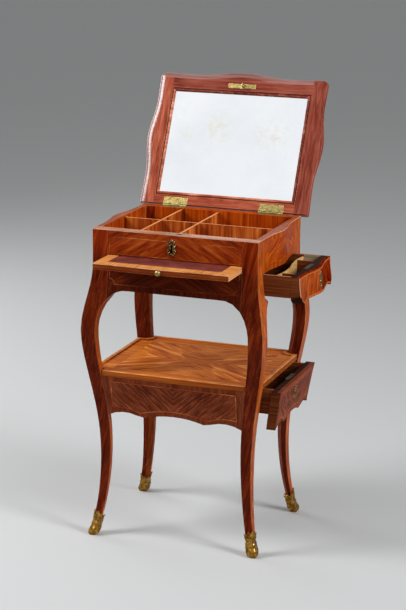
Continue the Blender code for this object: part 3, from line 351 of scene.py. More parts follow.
# Faces that look up or down, such as the drawer fronts' sloping bracket ends, get dark tones: painted
# shade.
wood("faded_drawer_side", OAK_TONES, ALONG_X, **PLAIN_OAK,
     layers=(("625740 887c5f a69a7c c6bba0", by_well), (LEVEL_SHADE_TONES, by_level)))
wood("front_core", OAK_TONES, ALONG_X, **PLAIN_OAK | {"gloss": 0.55}, layers=((LEVEL_SHADE_TONES, by_level),))
wood("pale_lining", "8c602e ba8c50 d6ae74 eacc9c", ALONG_Y, gloss=0.45, coat=0.05, streak=(0.2, 0.004))
# Pale pink front rim: painted highlight; the upper drawer's side tops share this finish.
wood("rim_edge", "84482c a46646 bc8464 d2a488", ALONG_X, (0.12, 0.003), gloss=0.22, coat=0.3)
wood("rim_side", "60260f 803a1b 984f2a b67046", ALONG_Y, (0.12, 0.003), gloss=0.26, coat=0.05)
# Pale line: painted highlight along the case's top edge; also the veneer's edge at the ends of the upper
# drawer.
wood("rim_line", "b27456 d6a082 ecc2a6 f8dac4", ALONG_X, (0.10, 0.002), gloss=0.24, coat=0.2)
wood("slide_border", BORDER_TONES, ALONG_Y, (0.1, 0.004))
wood("slide_border_ends", BORDER_TONES, ALONG_X, (0.1, 0.004))
wood("slide_edge", "461404 66260a 823a14 a05826", ALONG_X, (0.2, 0.004))
wood("slide_ends", "96582c c2804a da9c68 ecbc8e", ALONG_Y, (0.2, 0.003))
wood("keyhole_black", "060302 0c0604 120a06 1a100a", UP, gloss=0.6, coat=0.0)
metal("worn_brass", "544524 7a693c a08f5a d4c592", 0.30, pits=0.0002)
metal("gilt_bronze", "3a2208 7a541c b4863a f0d088", 0.26, 160)
metal("aged_bronze", "1b1209 48351d 90744a e4cca0", 0.26, 260)
metal("tooled_gold", "462a10 805824 b0843e deb86c", 0.36, 320)
metal("screw_brass", "463212 80642c b49650 e6d296", 0.28)
metal("lock_iron", "18140d 342c1d 564a31 807250", 0.42)
metal("bolt_iron", "1e1c1a 46423c 6e6860 969086", 0.4)
leather("red_leather", "360f0e 581c18 6e2920 8a4231")
mirror("old_mirror")

SOFT_ANGLE = radians(35)
WELD = 0.00002


def dress(look, edge, *names):
    """Give CAD nodes a finish, with smooth curved faces and slightly softened edges."""
    for name in names:
        node = NODES[name]
        node.data.materials.clear()
        node.data.materials.append(FINISHES[look])
        node.data.shade_smooth()
        weld = node.modifiers.new("weld", "WELD")
        weld.merge_threshold = WELD
        soft = node.modifiers.new("soft_edges", "BEVEL")
        soft.width = edge
        soft.segments = 2
        soft.limit_method = "ANGLE"
        soft.angle_limit = SOFT_ANGLE
        soft.use_clamp_overlap = False
        even = node.modifiers.new("even_normals", "WEIGHTED_NORMAL")
        even.weight = 100


def named(*parts):
    return [name for name in NODES if any(part in name for part in parts)]


FADED_SIDE = "upper_drawer_far_side"
oak = named("_side", "_back", "_bottom", "runner", "dust_board", "divider")
oak.remove(FADED_SIDE)
leaves = [name for name in NODES if name.endswith("_leaf")]
PARTITIONS = ("long_partition", "left_partition", "middle_partition")
dress("leg_veneer", 0.0006, *named("leg_"))
dress("front_field", 0.0002, "front_panel")
dress("lower_crossband", 0.0002, "lower_front_apron", "lower_rear_apron", "lower_left_apron")
dress("apron_crossband", 0.0002, "front_apron")
dress("side_crossband", 0.0002, "rear_panel", "left_panel", "right_panel")
dress("front_core", 0.0003, "upper_drawer_front", "lower_drawer_front")
dress("lining_floor", 0.0004, "compartment_floor")
dress("striped_lining", 0.0004, *PARTITIONS)
dress("shelf_veneer", 0.001, "shelf_board")
dress("lid_mahogany", 0.001, "lid_panel", "mirror_bead")
dress("slide_border", 0.0006, "slide_board")
dress("drawer_oak", 0.0004, *oak)
dress("faded_drawer_side", 0.0004, FADED_SIDE)
dress("pale_lining", 0.0004, *named("pen_wall"))
dress("gilt_bronze", 0.0004, *named("shoe_", "escutcheon"))
dress("worn_brass", 0.0003, "lid_keep", "lid_lock", "slide_knob", *leaves)
dress("lock_iron", 0.0003, "upper_drawer_lock", "lower_drawer_lock")
dress("bolt_iron", 0.0002, *named("_bolt"))
dress("red_leather", 0.0002, "slide_leather")
dress("old_mirror", 0.0002, "mirror_glass")

# Pieces laid on the frame

LIFT = 0.00012
SINK = 0.0003
EDGE = 0.0004
STRING = 0.0017
GROUND = {"lift": LIFT / 4, "sink": SINK / 2}
RIBBON_STEP = 0.004
SHARP_ANGLE = radians(38)


def shown(name, data):
    """New object in the scene."""
    made = bpy.data.objects.new(name, data)
    SCENE.collection.objects.link(made)
    return made


def piece(name, bm, looks, body="frame", slot="tulipwood_veneer", *replaced):
    """Piece that rides on a body; one that replaces CAD nodes has smooth curved faces."""
    bmesh.ops.recalc_face_normals(bm, faces=bm.faces)
    mesh = bpy.data.meshes.new(name)
    bm.to_mesh(mesh)
    bm.free()
    made = shown(name, mesh)
    for look in looks.split():
        mesh.materials.append(FINISHES[look])
    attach(made, body)
    if replaced:
        mesh.shade_smooth()
        mesh.set_sharp_from_angle(angle=SHARP_ANGLE)
        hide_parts(*replaced)


VIEWS = {
    "front": (Vector((0, 1, 0)), lambda u, v: Vector((CENTRE.x + u, -1, v))),
    "rear": (Vector((0, -1, 0)), lambda u, v: Vector((CENTRE.x + u, 1, v))),
    "left": (Vector((1, 0, 0)), lambda u, v: Vector((-1, CENTRE.y + u, v))),
    "right": (Vector((-1, 0, 0)), lambda u, v: Vector((1, CENTRE.y + u, v))),
    "top": (Vector((0, 0, -1)), lambda u, v: Vector((CENTRE.x + u, CENTRE.y + v, 2))),
}


def caster(node, view):
    """Place points of a drawing on a node's face, seen squarely from one side."""
    mesh = NODES[node].data
    shell = BVHTree.FromPolygons([v.co for v in mesh.vertices], [list(p.vertices) for p in mesh.polygons])
    ray, start = VIEWS[view]

    def place(u, v, lift):
        hit, normal, _, _ = shell.ray_cast(start(u, v), ray)
        if hit is None:
            hit, normal, _, _ = shell.find_nearest(start(u, v) + ray)
        return hit + (normal if normal.dot(ray) < 0 else -normal) * lift

    return place


def level(z):
    """Place points of a drawing on a level plane."""
    return lambda u, v, lift: CENTRE + Vector((u, v, z + lift))


def spread(start, end, low, high):
    """Drawing between two edges; low and high are distances up, or give them at a distance along."""

    def at(share, rise):
        u = start + (end - start) * share
        bottom, top = (edge(u) if callable(edge) else edge for edge in (low, high))
        return u, bottom + (top - bottom) * rise

    return at


def rectangle(x0, x1, y0, y1):
    return [(x1, y1), (x1, y0), (x0, y0), (x0, y1)]


def arc(centre, radius, start, end, steps=6):
    """Points of a circle's arc, angles in degrees."""
    points = []
    for n in range(steps + 1):
        angle = radians(start + (end - start) * n / steps)
        points.append((centre[0] + radius * cos(angle), centre[1] + radius * sin(angle)))
    return points


def outline(at, steps=36, rises=1):
    """Closed line round a drawing."""
    ends = [n / rises for n in range(1, rises)]
    line = [at(n / steps, 0) for n in range(steps + 1)] + [at(1, share) for share in ends]
    return line + [at(1 - n / steps, 1) for n in range(steps + 1)] + [at(0, 1 - share) for share in ends]


def resampled(points, step, closed=False):
    ends = list(points) + ([points[0]] if closed else [])
    made = []
    for start, end in zip(ends, ends[1:]):
        count = max(1, ceil(dist(start, end) / step))
        made += [tuple(Vector(start).lerp(Vector(end), n / count)) for n in range(count)]
    return made if closed else made + [tuple(ends[-1])]


def verts(bm, points):
    return [bm.verts.new(point) for point in points]


def skin(bm, rings, closed=False, capped=False):
    """Faces between neighbouring rings; closed joins the last to the first, capped fills these two."""
    for near, far in zip(rings, rings[1:] + rings[:1] if closed else rings[1:]):
        for n in range(len(near)):
            bm.faces.new((near[n - 1], near[n], far[n], far[n - 1]))
    if capped:
        bm.faces.new(rings[0])
        bm.faces.new(rings[-1])


def slab(bm, line, place, lift):
    """Thin plate of any outline let into a face."""
    rings = [verts(bm, [place(u, v, height) for u, v in line]) for height in (lift, -SINK)]
    skin(bm, rings, capped=True)


def ribbon(bm, points, width, place, closed=False, lift=LIFT / 2):
    """Narrow strip let into a face along a line of the drawing."""
    line = resampled(points, RIBBON_STEP, closed)
    sections = []
    for n, here in enumerate(line):
        before = line[n - 1] if n or closed else here
        after = line[(n + 1) % len(line)] if n + 1 < len(line) or closed else here
        along = (Vector(after) - Vector(before)).normalized()
        side = Vector((-along.y, along.x)) * width / 2
        near, far = Vector(here) + side, Vector(here) - side
        corners = [place(*near, lift), place(*far, lift), place(*far, -SINK), place(*near, -SINK)]
        sections.append(verts(bm, corners))
    skin(bm, sections, closed, not closed)


def sheet_of(bm, columns, rows, at, place, lift=LIFT / 2, sink=SINK):
    """Thin sheet of veneer: at turns shares across and up into a point of the drawing."""
    rim = [(0, c) for c in range(columns)] + [(r, columns) for r in range(rows)]
    rim += [(rows, c) for c in range(columns, 0, -1)] + [(r, 0) for r in range(rows, 0, -1)]
    rings = []
    for height in (lift, -sink):
        grid = []
        for row in range(rows + 1):
            line = [place(*at(c / columns, row / rows), height) for c in range(columns + 1)]
            grid.append(verts(bm, line))
        for low, high in zip(grid, grid[1:]):
            for c in range(columns):
                bm.faces.new((low[c], low[c + 1], high[c + 1], high[c]))
        rings.append([grid[r][c] for r, c in rim])
    skin(bm, rings)


def veneer(name, look, body, *drawing, **heights):
    """Piece of one sheet."""
    bm = bmesh.new()
    sheet_of(bm, *drawing, **heights)
    piece(name, bm, look, body)


def string_round(name, look, body, line, place, width=STRING):
    bm = bmesh.new()
    ribbon(bm, line, width, place, closed=True, lift=LIFT)
    piece(name, bm, look, body, "pale_wood")


def panel_inlay(node, view, at, field, string, line=None, body="frame"):
    """Veneer field with a string round it, or along another line."""
    place = caster(node, view)
    veneer(f"{node}_field", field, body, 36, 10, at, place)
    string_round(f"{node}_string", string, body, line or outline(at), place)


def bordered(name, body, place, *edges):
    """Field of its own finish in a string border, on a plane."""
    veneer(f"{name}_field", f"{name}_field", body, 8, 8, spread(*edges), place)
    string_round(f"{name}_string", "string_boxwood", body, rectangle(*edges), place)


# The table's own lines, in metres from its middle

POST = 0.035
POST_GAP = 0.0003
HALF_PANEL = half_of("front_apron").x
HALF_X = HALF_PANEL + POST + POST_GAP
HALF_Y = half_of("left_panel").y + POST + POST_GAP
ARCH_TOP, ARCH_DROP, ARCH_RUN, ARCH_SPRING = 0.561, 0.086, 0.062, 0.0131
LOWER_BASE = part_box("lower_front_apron")[0].z
CUSP_PLACE, CENTRE_ARC_RISE, SIDE_ARC_RISE = 0.48, 0.012, 0.010


def arch_under(along, half):
    straight = half - ARCH_SPRING - ARCH_RUN
    share = clamp((abs(along) - straight) / ARCH_RUN)
    return ARCH_TOP - ARCH_DROP + ARCH_DROP * sqrt(1 - share**2)


def scallop(along, half):
    share = min(abs(along) / half, 1)
    if share < CUSP_PLACE:
        return LOWER_BASE + CENTRE_ARC_RISE * (1 - (share / CUSP_PLACE) ** 2)
    centre, reach = (1 + CUSP_PLACE) / 2, (1 - CUSP_PLACE) / 2
    return LOWER_BASE + SIDE_ARC_RISE * (1 - ((share - centre) / reach) ** 2)


# Chevrons round the shelf

LOWER_MARGIN, LOWER_END, LOWER_TOP = 0.011, 0.021, 0.010
for node, view, body, field in (
    ("lower_front_apron", "front", "frame", "chevron_front"),
    ("lower_rear_apron", "rear", "frame", "chevron_front"),
    ("lower_left_apron", "left", "frame", "chevron_side"),
    ("lower_drawer_front", "right", "lower_drawer", "chevron_side"),
):
    half = half_of(node).x if view in ("front", "rear") else half_of(node).y
    reach = half - LOWER_END
    at = spread(-reach, reach, lambda u: scallop(u, half) + LOWER_MARGIN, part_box(node)[1].z - LOWER_TOP)
    panel_inlay(node, view, at, field, "faint_string", body=body)

# Case: string frames with hollow corners, one of them carried past the slide

CORNER = 0.012
SEAM = 0.001
FRONT_REACH, SIDE_REACH = HALF_PANEL - 0.004, 0.099
FRAME_LOW, FRAME_TOP = 0.573, 0.675
SIDE_LOW, SIDE_TOP = 0.626, 0.677
LOWER, UPPER = "lower", "upper"
PANEL_LOW, RIM_Z = (corner.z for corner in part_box("front_panel"))
APRON_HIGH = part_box("front_apron")[1].z


def hollow_frame(reach, low, high, scooped):
    """Closed line round a rectangle with some corners scooped in; square ends keep off the seam."""
    if LOWER in scooped:
        line = arc((-reach, low), CORNER, 90, 0) + arc((reach, low), CORNER, 180, 90)
    else:
        line = [(-reach, low + SEAM), (reach, low + SEAM)]
    if UPPER in scooped:
        return line + arc((reach, high), CORNER, 270, 180) + arc((-reach, high), CORNER, 360, 270)
    return line + [(reach, high - SEAM), (-reach, high - SEAM)]


for node, view, reach, low, high, scooped, field in (
    ("front_panel", "front", FRONT_REACH, PANEL_LOW + SEAM, FRAME_TOP, (UPPER,), "front_field"),
    ("front_apron", "front", FRONT_REACH, FRAME_LOW, APRON_HIGH - SEAM, (LOWER,), "apron_field"),
    ("right_panel", "right", SIDE_REACH, SIDE_LOW, SIDE_TOP, (LOWER, UPPER), "side_field"),
    ("left_panel", "left", SIDE_REACH, FRAME_LOW, SIDE_TOP, (LOWER, UPPER), "side_field"),
    ("rear_panel", "rear", FRONT_REACH, FRAME_LOW, SIDE_TOP, (LOWER, UPPER), "front_field"),
):
    line = hollow_frame(reach, low, high, scooped)
    # The apron's string is darker too: painted shade under the slide.
    string = "shaded_apron_string" if node == "front_apron" else "faint_string"
    panel_inlay(node, view, spread(-reach, reach, low, high), field, string, line)

# Drawers

BRACKET_REACH, BRACKET_CURVE = 0.016, 1.3
BRACKET_TOP = ARCH_TOP + 0.0068
BRACKET_FOOT = arch_under(HALF_Y - POST - BRACKET_REACH, HALF_Y)
DRAWER_PLAY = 0.0012
UPPER_MARGIN = 0.0035
UPPER_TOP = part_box("upper_drawer_front")[1].z
UPPER_STRING = 0.0013
END_LINE_LOW, END_LINE_TOP = BRACKET_TOP + 0.0030, UPPER_TOP - 0.0008
END_LINE, END_LINE_IN, END_LINE_STEPS = 0.0012, 0.0009, 24
FRONT_TOP_WIDTH = 0.0075
LOWER_FRONT_END = 0.004


def drawer_end(z, margin):
    """Half length of the upper drawer's front at a height, less a margin."""
    fall = clamp((BRACKET_TOP - z) / (BRACKET_TOP - BRACKET_FOOT))
    return HALF_Y - POST - BRACKET_REACH * fall**BRACKET_CURVE - DRAWER_PLAY - margin


def drawer_drawing(margin, start=-1.0, end=1.0):
    """Drawing of the upper drawer's front between two shares across."""

    def at(share, rise):
        across = start + (end - start) * share
        low = ARCH_TOP
        for _ in range(12):
            low = arch_under(across * drawer_end(low, margin), HALF_Y) + margin
        z = low + (UPPER_TOP - margin - low) * rise
        return across * drawer_end(z, margin), z

    return at


upper_face = caster("upper_drawer_front", "right")
at = drawer_drawing(EDGE)
veneer("upper_drawer_veneer", "side_crossband", "upper_drawer", 36, 14, at, upper_face, **GROUND)
# The far half of the front gets the darker copy: painted shade.
for name, start, end, field in (("near", -1.0, 0.0, "drawer_field"), ("far", 0.0, 1.0, "drawer_far_field")):
    at = drawer_drawing(UPPER_MARGIN, start, end)
    veneer(f"upper_drawer_{name}_field", field, "upper_drawer", 18, 14, at, upper_face)
line = outline(drawer_drawing(UPPER_MARGIN), rises=6)
string_round("upper_drawer_string", "string_boxwood", "upper_drawer", line, upper_face, UPPER_STRING)

bm = bmesh.new()
for view, sign in (("front", -1), ("rear", 1)):
    line = []
    for n in range(END_LINE_STEPS + 1):
        z = END_LINE_LOW + (END_LINE_TOP - END_LINE_LOW) * n / END_LINE_STEPS
        line.append((upper_face(sign * drawer_end(z, EDGE), z, 0).x - CENTRE.x - END_LINE_IN, z))
    ribbon(bm, line, END_LINE, caster("upper_drawer_front", view))
piece("upper_drawer_end_lines", bm, "rim_line", "upper_drawer", "pale_wood")


def front_top(drawer, half, look, columns):
    """Veneer on the outer part of a drawer front's top edge."""
    node = f"{drawer}_front"
    face, top = caster(node, "right"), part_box(node)[1].z

    def at(share, rise):
        y = (2 * share - 1) * half
        outer = face(y, top - EDGE, 0).x - CENTRE.x - EDGE
        return outer - FRONT_TOP_WIDTH * (1 - rise), y

    veneer(f"{node}_top", look, drawer, columns, 2, at, caster(node, "top"), **GROUND)


front_top("upper_drawer", drawer_end(UPPER_TOP, EDGE), "drawer_far_field", 36)
for drawer, board, look in (
    ("upper_drawer", "side", "rim_edge"),
    ("lower_drawer", "side", "rim_side"),
    ("upper_drawer", "divider", "pale_lining"),
):
    bm = bmesh.new()
    for node in (f"{drawer}_near_{board}", f"{drawer}_far_{board}"):
        low, high = local_box(node)
        at = spread(low.x + EDGE, high.x - EDGE, low.y + EDGE, high.y - EDGE)
        sheet_of(bm, 12, 1, at, caster(node, "top"))
    piece(f"{drawer}_{board}_tops", bm, look, drawer, "pale_wood")
half_lower = half_of("lower_drawer_front").y
reach = half_lower - LOWER_FRONT_END - EDGE
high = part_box("lower_drawer_front")[1].z - EDGE
veneer(
    "lower_drawer_veneer", "lower_side_crossband", "lower_drawer", 36, 12,
    spread(-reach, reach, lambda u: scallop(u, half_lower) + EDGE, high),
    caster("lower_drawer_front", "right"), **GROUND,
)
front_top("lower_drawer", half_lower - EDGE, "lower_side_crossband", 24)

# Shelf

SHELF_BORDER = 0.039
TRAY_Z = 0.377
SHELF_LINES = ((0.0013, 0.0016), (0.0058, 0.0008))
shelf_half = half_of("shelf_board")
field_x, field_y = shelf_half.x - SHELF_BORDER, shelf_half.y - SHELF_BORDER
bordered("shelf", "frame", level(TRAY_Z), -field_x, field_x, -field_y, field_y)

# Pale lines along the shelf's outer edge and inner lip: painted highlights.
bm = bmesh.new()
shelf_top = caster("shelf_board", "top")
span_x, span_y = half_of("lower_front_apron").x - EDGE, half_lower - EDGE
for margin, width in SHELF_LINES:
    for sign in (-1, 1):
        x, y = sign * (shelf_half.x - margin), sign * (shelf_half.y - margin)
        ribbon(bm, [(-span_x, y), (span_x, y)], width, shelf_top)
        ribbon(bm, [(x, -span_y), (x, span_y)], width, shelf_top)
piece("shelf_edge_lines", bm, "shelf_line", "frame", "pale_wood")

# Rim of the case, with painted highlight: paler at the front and a pale line along its outer edge; tops of
# the partitions

PANEL = 0.023
SIDE_BOW = 0.0105
SIDE_RIM = 0.0125
RIM_LINE_WIDTH = 0.0011
WALL_HALF = 0.0026
rim_place = level(RIM_Z)


def side_bow(y):
    share = min(abs(y) / (HALF_Y - POST), 1)
    return SIDE_BOW * ((1 + cos(pi * share)) / 2) ** 2


front_low, front_high = EDGE - HALF_Y, PANEL - HALF_Y - EDGE
lock_low, lock_high = local_box("lid_lock")
lock_left, lock_right = lock_low.x - EDGE, lock_high.x + EDGE
bm = bmesh.new()
for edges in (
    (EDGE - HALF_X, lock_left, front_low, front_high),
    (lock_right, HALF_X - EDGE, front_low, front_high),
    (lock_left, lock_right, front_low, lock_low.y - EDGE),
    (lock_left, lock_right, lock_high.y + EDGE, front_high),
):
    sheet_of(bm, 4, 2, spread(*edges), rim_place)
piece("case_rim", bm, "rim_edge")

bm = bmesh.new()
for sign in (-1, 1):
    def side_at(share, rise):
        y = front_high + EDGE + (2 * HALF_Y - PANEL - EDGE) * share
        inner, outer = HALF_X - SIDE_RIM + EDGE, HALF_X + side_bow(y) - EDGE
        return sign * (inner + (outer - inner) * rise), y

    sheet_of(bm, 30, 3, side_at, rim_place)
piece("case_side_rims", bm, "rim_side")

# Pale line just under the rim on all four sides: painted highlight.
bm = bmesh.new()
for view, half, nodes in (
    ("front", HALF_X, ("leg_front_left", "front_panel", "leg_front_right")),
    ("rear", HALF_X, ("leg_rear_left", "rear_panel", "leg_rear_right")),
    ("left", HALF_Y, ("leg_front_left", "left_panel", "leg_rear_left")),
    ("right", HALF_Y, ("leg_front_right", "right_panel", "leg_rear_right")),
):
    faces = [caster(node, view) for node in nodes]

    def rim_face(u, v, lift):
        return faces[0 if u < POST - half else 2 if u > half - POST else 1](u, v, lift)

    z = RIM_Z - EDGE - RIM_LINE_WIDTH / 2
    ribbon(bm, [(EDGE - half, z), (half - EDGE, z)], RIM_LINE_WIDTH, rim_face)
piece("case_rim_line", bm, "rim_line", "frame", "pale_wood")

wall_y = middle_of("long_partition").y - CENTRE.y
bm = bmesh.new()
for node in PARTITIONS:
    low, high = local_box(node)
    spans = [(low.y, wall_y - WALL_HALF), (wall_y + WALL_HALF, high.y)]
    for start, end in [(low.y, high.y)] if node == "long_partition" else spans:
        sheet_of(bm, 12, 1, spread(low.x, high.x, start + EDGE, end - EDGE), level(high.z))
piece("partition_tops", bm, "slide_border")

# Writing slide: crossbanded ends, veneered edges, light lines and tooled leather

BAND_FRONT, END_FRONT, MITRE_FRONT = 0.004, 0.005, 0.0045
EDGE_LINE_IN, EDGE_LINE_WIDTH, MITRE_WIDTH = 0.0008, 0.0013, 0.0009
TOOLING = ((0.0050, 0.0012), (0.0078, 0.0005))
slide_low, slide_high = local_box("slide_board")
hide_low, hide_high = local_box("slide_leather")
across_x = (slide_low.x + EDGE, slide_high.x - EDGE)
across_y = (slide_low.y + END_FRONT, slide_high.y - EDGE)
front_inner, front_outer = hide_low.y - EDGE, slide_low.y + BAND_FRONT
bm = bmesh.new()
for outer, inner in zip(across_x, (hide_low.x - EDGE, hide_high.x + EDGE)):
    def mitre(u):
        return front_outer + (front_inner - front_outer) * (u - outer) / (inner - outer)

    sheet_of(bm, 4, 12, spread(outer, inner, mitre, slide_high.y - EDGE), level(slide_high.z))
piece("slide_end_bands", bm, "slide_border_ends", "writing_slide")
for name, view, across, look, columns, rows in (
    ("slide_edge_veneer", "front", across_x, "slide_edge", 40, 3),
    ("slide_left_end", "left", across_y, "slide_ends", 12, 2),
    ("slide_right_end", "right", across_y, "slide_ends", 12, 2),
):
    at = spread(*across, slide_low.z + EDGE, slide_high.z - EDGE)
    veneer(name, look, "writing_slide", columns, rows, at, caster("slide_board", view), **GROUND)

# Pale line along the slide's front top edge: painted highlight; the two lines on the top are mitre joints
# of the crossbanding.
bm = bmesh.new()
reach, z = half_of("slide_board").x - EDGE, slide_high.z - EDGE - EDGE_LINE_IN
ribbon(bm, [(-reach, z), (reach, z)], EDGE_LINE_WIDTH, caster("slide_board", "front"))
for sign, hide_x in ((-1, hide_low.x), (1, hide_high.x)):
    line = [(hide_x + sign * EDGE, hide_low.y - EDGE), (sign * reach, slide_low.y + MITRE_FRONT)]
    ribbon(bm, line, MITRE_WIDTH, caster("slide_board", "top"), lift=LIFT)
piece("slide_lines", bm, "shelf_line", "writing_slide", "pale_wood")

bm = bmesh.new()
for margin, width in TOOLING:
    line = rectangle(hide_low.x + margin, hide_high.x - margin, hide_low.y + margin, hide_high.y - margin)
    ribbon(bm, line, width, level(hide_high.z), closed=True)
piece("leather_tooling", bm, "tooled_gold", "writing_slide", "red_leather")

# Lid: rounded and moulded edge, recess for the mirror, quartered top

HINGE = next(joint for joint in frame["joints"] if joint["name"] == "lid_hinge")
PIVOT = Vector(HINGE["pos_m"])
LID_OPENING = 115.9
OPENING = Matrix.Rotation(radians(LID_OPENING), 4, HINGE["axis"])
OPEN = Matrix.Translation(PIVOT) @ OPENING @ Matrix.Translation(-PIVOT)
CLOSE = OPEN.inverted()
LID_UNDER = RIM_Z + 0.0003
LID_FACE = LID_UNDER + 0.0002
LID_TOP = LID_UNDER + 0.015
LID_HALF, LID_FRONT, LID_BACK = 0.200, -0.1615, 0.1485
LID_BOW, LID_DIP, LID_CORNER = 0.0085, 0.0020, 0.012
LID_STEPS = 36
GLASS_HALF, GLASS_FRONT, GLASS_BACK = 0.157, -0.1175, 0.1205
BEAD, BEAD_DEPTH, RECESS_DEPTH, RECESS_STEP = 0.008, 0.003, 0.0066, 0.02
STILE = GLASS_HALF + BEAD + 0.0012
FACE_DEPTH = 0.001
ROUND_WIDTH, ROUND_DEPTH, ROUND_STEPS = 0.0125, 0.0054, 5
BACK_LIP, BACK_LIP_HEIGHT = 0.0028, 0.0036
MOULDING = (
    (0.0, 0.0066), (0.0006, 0.0062), (0.0014, 0.0060), (0.0018, 0.0050), (0.0028, 0.0034),
    (0.0044, 0.0020), (0.0064, 0.0012), (0.0072, 0.0010), (0.0078, 0.0003), (0.0084, 0.0),
)
BEAD_SHOULDER, BEAD_STEPS = 0.0020, 8
ROUND_PLACE, ROUND_HALF, ROUND_LOW, ROUND_RISE = 0.0049, 0.0026, 0.0014, 0.0015
GROOVE = ((0.0021, 0.0027), (0.0004, 0.0027), (0.0001, BEAD_DEPTH))
TOP_SIDE_MARGIN, TOP_BACK_MARGIN = 0.034, 0.026

STILE_GRAIN = (0, LID_OPENING - 180, 90)
LID_BAND = {"streak": (0.10, 0.010), "contrast": 1.2, "wear_and_highlight": 0.45, "distortion": 1.6}
wood("lid_faded_rail", PALER_LID_TONES, ALONG_X, **LID_BAND)
wood("lid_stile", LID_TONES, STILE_GRAIN, **LID_BAND)
wood("lid_faded_stile", PALER_LID_TONES, STILE_GRAIN, **LID_BAND)
# Rounded edge of the lid at the left and front: grey-purple tones as a painted reflection, under a strong
# coat.
wood("lid_edge", "582c26 78463e 905c54 b08078", ALONG_X, (0.3, 0.004), gloss=0.24, coat=1.0,
     coat_roughness=0.24)
LID_LOOKS = "lid_mahogany lid_faded_rail lid_stile lid_faded_stile lid_edge"
RIGHT_STILE, LEFT_STILE, ROUNDED_EDGE = 2, 3, 4
wood("bead_mahogany", "7a3626 a0543d c2765a e8ac90", ALONG_X, (0.03, 0.006), gloss=0.22, contrast=1.3)
wood("groove_mahogany", "581f15 743223 8a4231 a05643", ALONG_X, gloss=0.4)
wood("shaded_bead", "461a14 622a21 7e3e32 be8070", ALONG_X, (0.012, 0.004), contrast=1.4)


def lid_place(x, y, z):
    """Point of the closed lid, carried to where the open lid is."""
    return OPEN @ (CENTRE + Vector((x, y, z)))


def lid_level(z, way=1):
    """Place points of a drawing on a plane of the lid."""
    return lambda u, v, lift: lid_place(u, v, z + way * lift)


def lid_spot(face):
    """Middle of a face, carried back to the closed lid."""
    return CLOSE @ face.calc_center_median() - CENTRE


def lid_crossbow(share):
    full = LID_BOW * ((1 + cos(pi * share)) / 2) ** 3
    return full - LID_DIP * sin(pi * share) ** 2


def lid_outline():
    """The lid's edge, from the back right corner round the front."""
    middle, reach = (LID_BACK + LID_FRONT) / 2, (LID_BACK - LID_FRONT) / 2
    shares = [1 - 2 * n / LID_STEPS for n in range(LID_STEPS + 1)]
    edge = [(LID_HALF + lid_crossbow(share), middle + share * reach) for share in shares]
    edge = [(x, y) for x, y in edge if y > LID_FRONT + LID_CORNER]
    edge += arc((LID_HALF - LID_CORNER, LID_FRONT + LID_CORNER), LID_CORNER, 0, -90)
    for share in shares[1:LID_STEPS // 2 + 1]:
        edge.append((share * (LID_HALF - LID_CORNER), LID_FRONT - lid_crossbow(share)))
    return edge + [(-x, y) for x, y in reversed(edge[:-1])]


def inset(line, amount):
    """Closed line moved inward, its corners mitred."""
    moved = []
    for n, here in enumerate(line):
        sides = []
        for start, end in ((line[n - 1], here), (here, line[(n + 1) % len(line)])):
            along = (Vector(end) - Vector(start)).normalized()
            sides.append(Vector((along.y, -along.x)))
        mitre = (sides[0] + sides[1]) / (1 + sides[0].dot(sides[1]))
        moved.append((here[0] + mitre.x * amount, here[1] + mitre.y * amount))
    return moved


def rings_of(bm, line, profile, back=None, closed=False):
    """Skin on the lid through insets and heights of one outline; gives the rings of points.

    Where back is given, the first and last points lie at that distance, so that the back stays square.
    """
    rings = []
    for amount, height in profile:
        moved = inset(line, amount)
        if back:
            moved[0], moved[-1] = (moved[0][0], back(height)), (moved[-1][0], back(height))
        rings.append(verts(bm, [lid_place(x, y, height) for x, y in moved]))
    skin(bm, rings, closed)
    return rings


def lid_back(z):
    return LID_BACK + (BACK_LIP if z > LID_FACE + BACK_LIP_HEIGHT else 0)


profile = []
for n in range(ROUND_STEPS + 1):
    turn = radians(90 * n / ROUND_STEPS)
    profile.append((ROUND_WIDTH * (1 - sin(turn)), LID_FACE + ROUND_DEPTH * (1 - cos(turn))))
profile += [(amount, LID_TOP - drop) for amount, drop in MOULDING]
bm = bmesh.new()
outer = rings_of(bm, lid_outline(), profile, lid_back)
for face in list(bm.faces)[:(ROUND_STEPS + 1) * len(outer[0])]:
    face.material_index = ROUNDED_EDGE
bm.faces.new(outer[-1])
hole = rectangle(-GLASS_HALF - BEAD, GLASS_HALF + BEAD, GLASS_FRONT - BEAD, GLASS_BACK + BEAD)
hole = resampled(hole, RECESS_STEP, True)
inner = rings_of(bm, hole, [(0.0, LID_FACE + RECESS_DEPTH), (0.0, LID_FACE)])
bm.faces.new(inner[0])
loops = []
for ring in (outer[0], inner[-1]):
    loops += [bm.edges.get((ring[n - 1], ring[n])) for n in range(len(ring))]
bmesh.ops.triangle_fill(bm, use_beauty=True, edges=loops)
for x in (-STILE, STILE):
    everything = bm.verts[:] + bm.edges[:] + bm.faces[:]
    bmesh.ops.bisect_plane(bm, geom=everything, plane_co=(CENTRE.x + x, 0, 0), plane_no=(1, 0, 0))
for face in bm.faces:
    spot = lid_spot(face)
    # The rounded edge on the right takes the darker stile tones: painted shade.
    if face.material_index == ROUNDED_EDGE:
        if spot.x > STILE:
            face.material_index = RIGHT_STILE
    # Face of the lid: the left stile and back rail get the paler tones, the right stile and front rail the
    # darker.
    elif spot.z <= LID_FACE + FACE_DEPTH:
        stile = RIGHT_STILE if spot.x > 0 else LEFT_STILE
        face.material_index = stile if abs(spot.x) > STILE else int(spot.y > 0)
piece("lid", bm, LID_LOOKS, "lid", "tulipwood_veneer", "lid_panel")

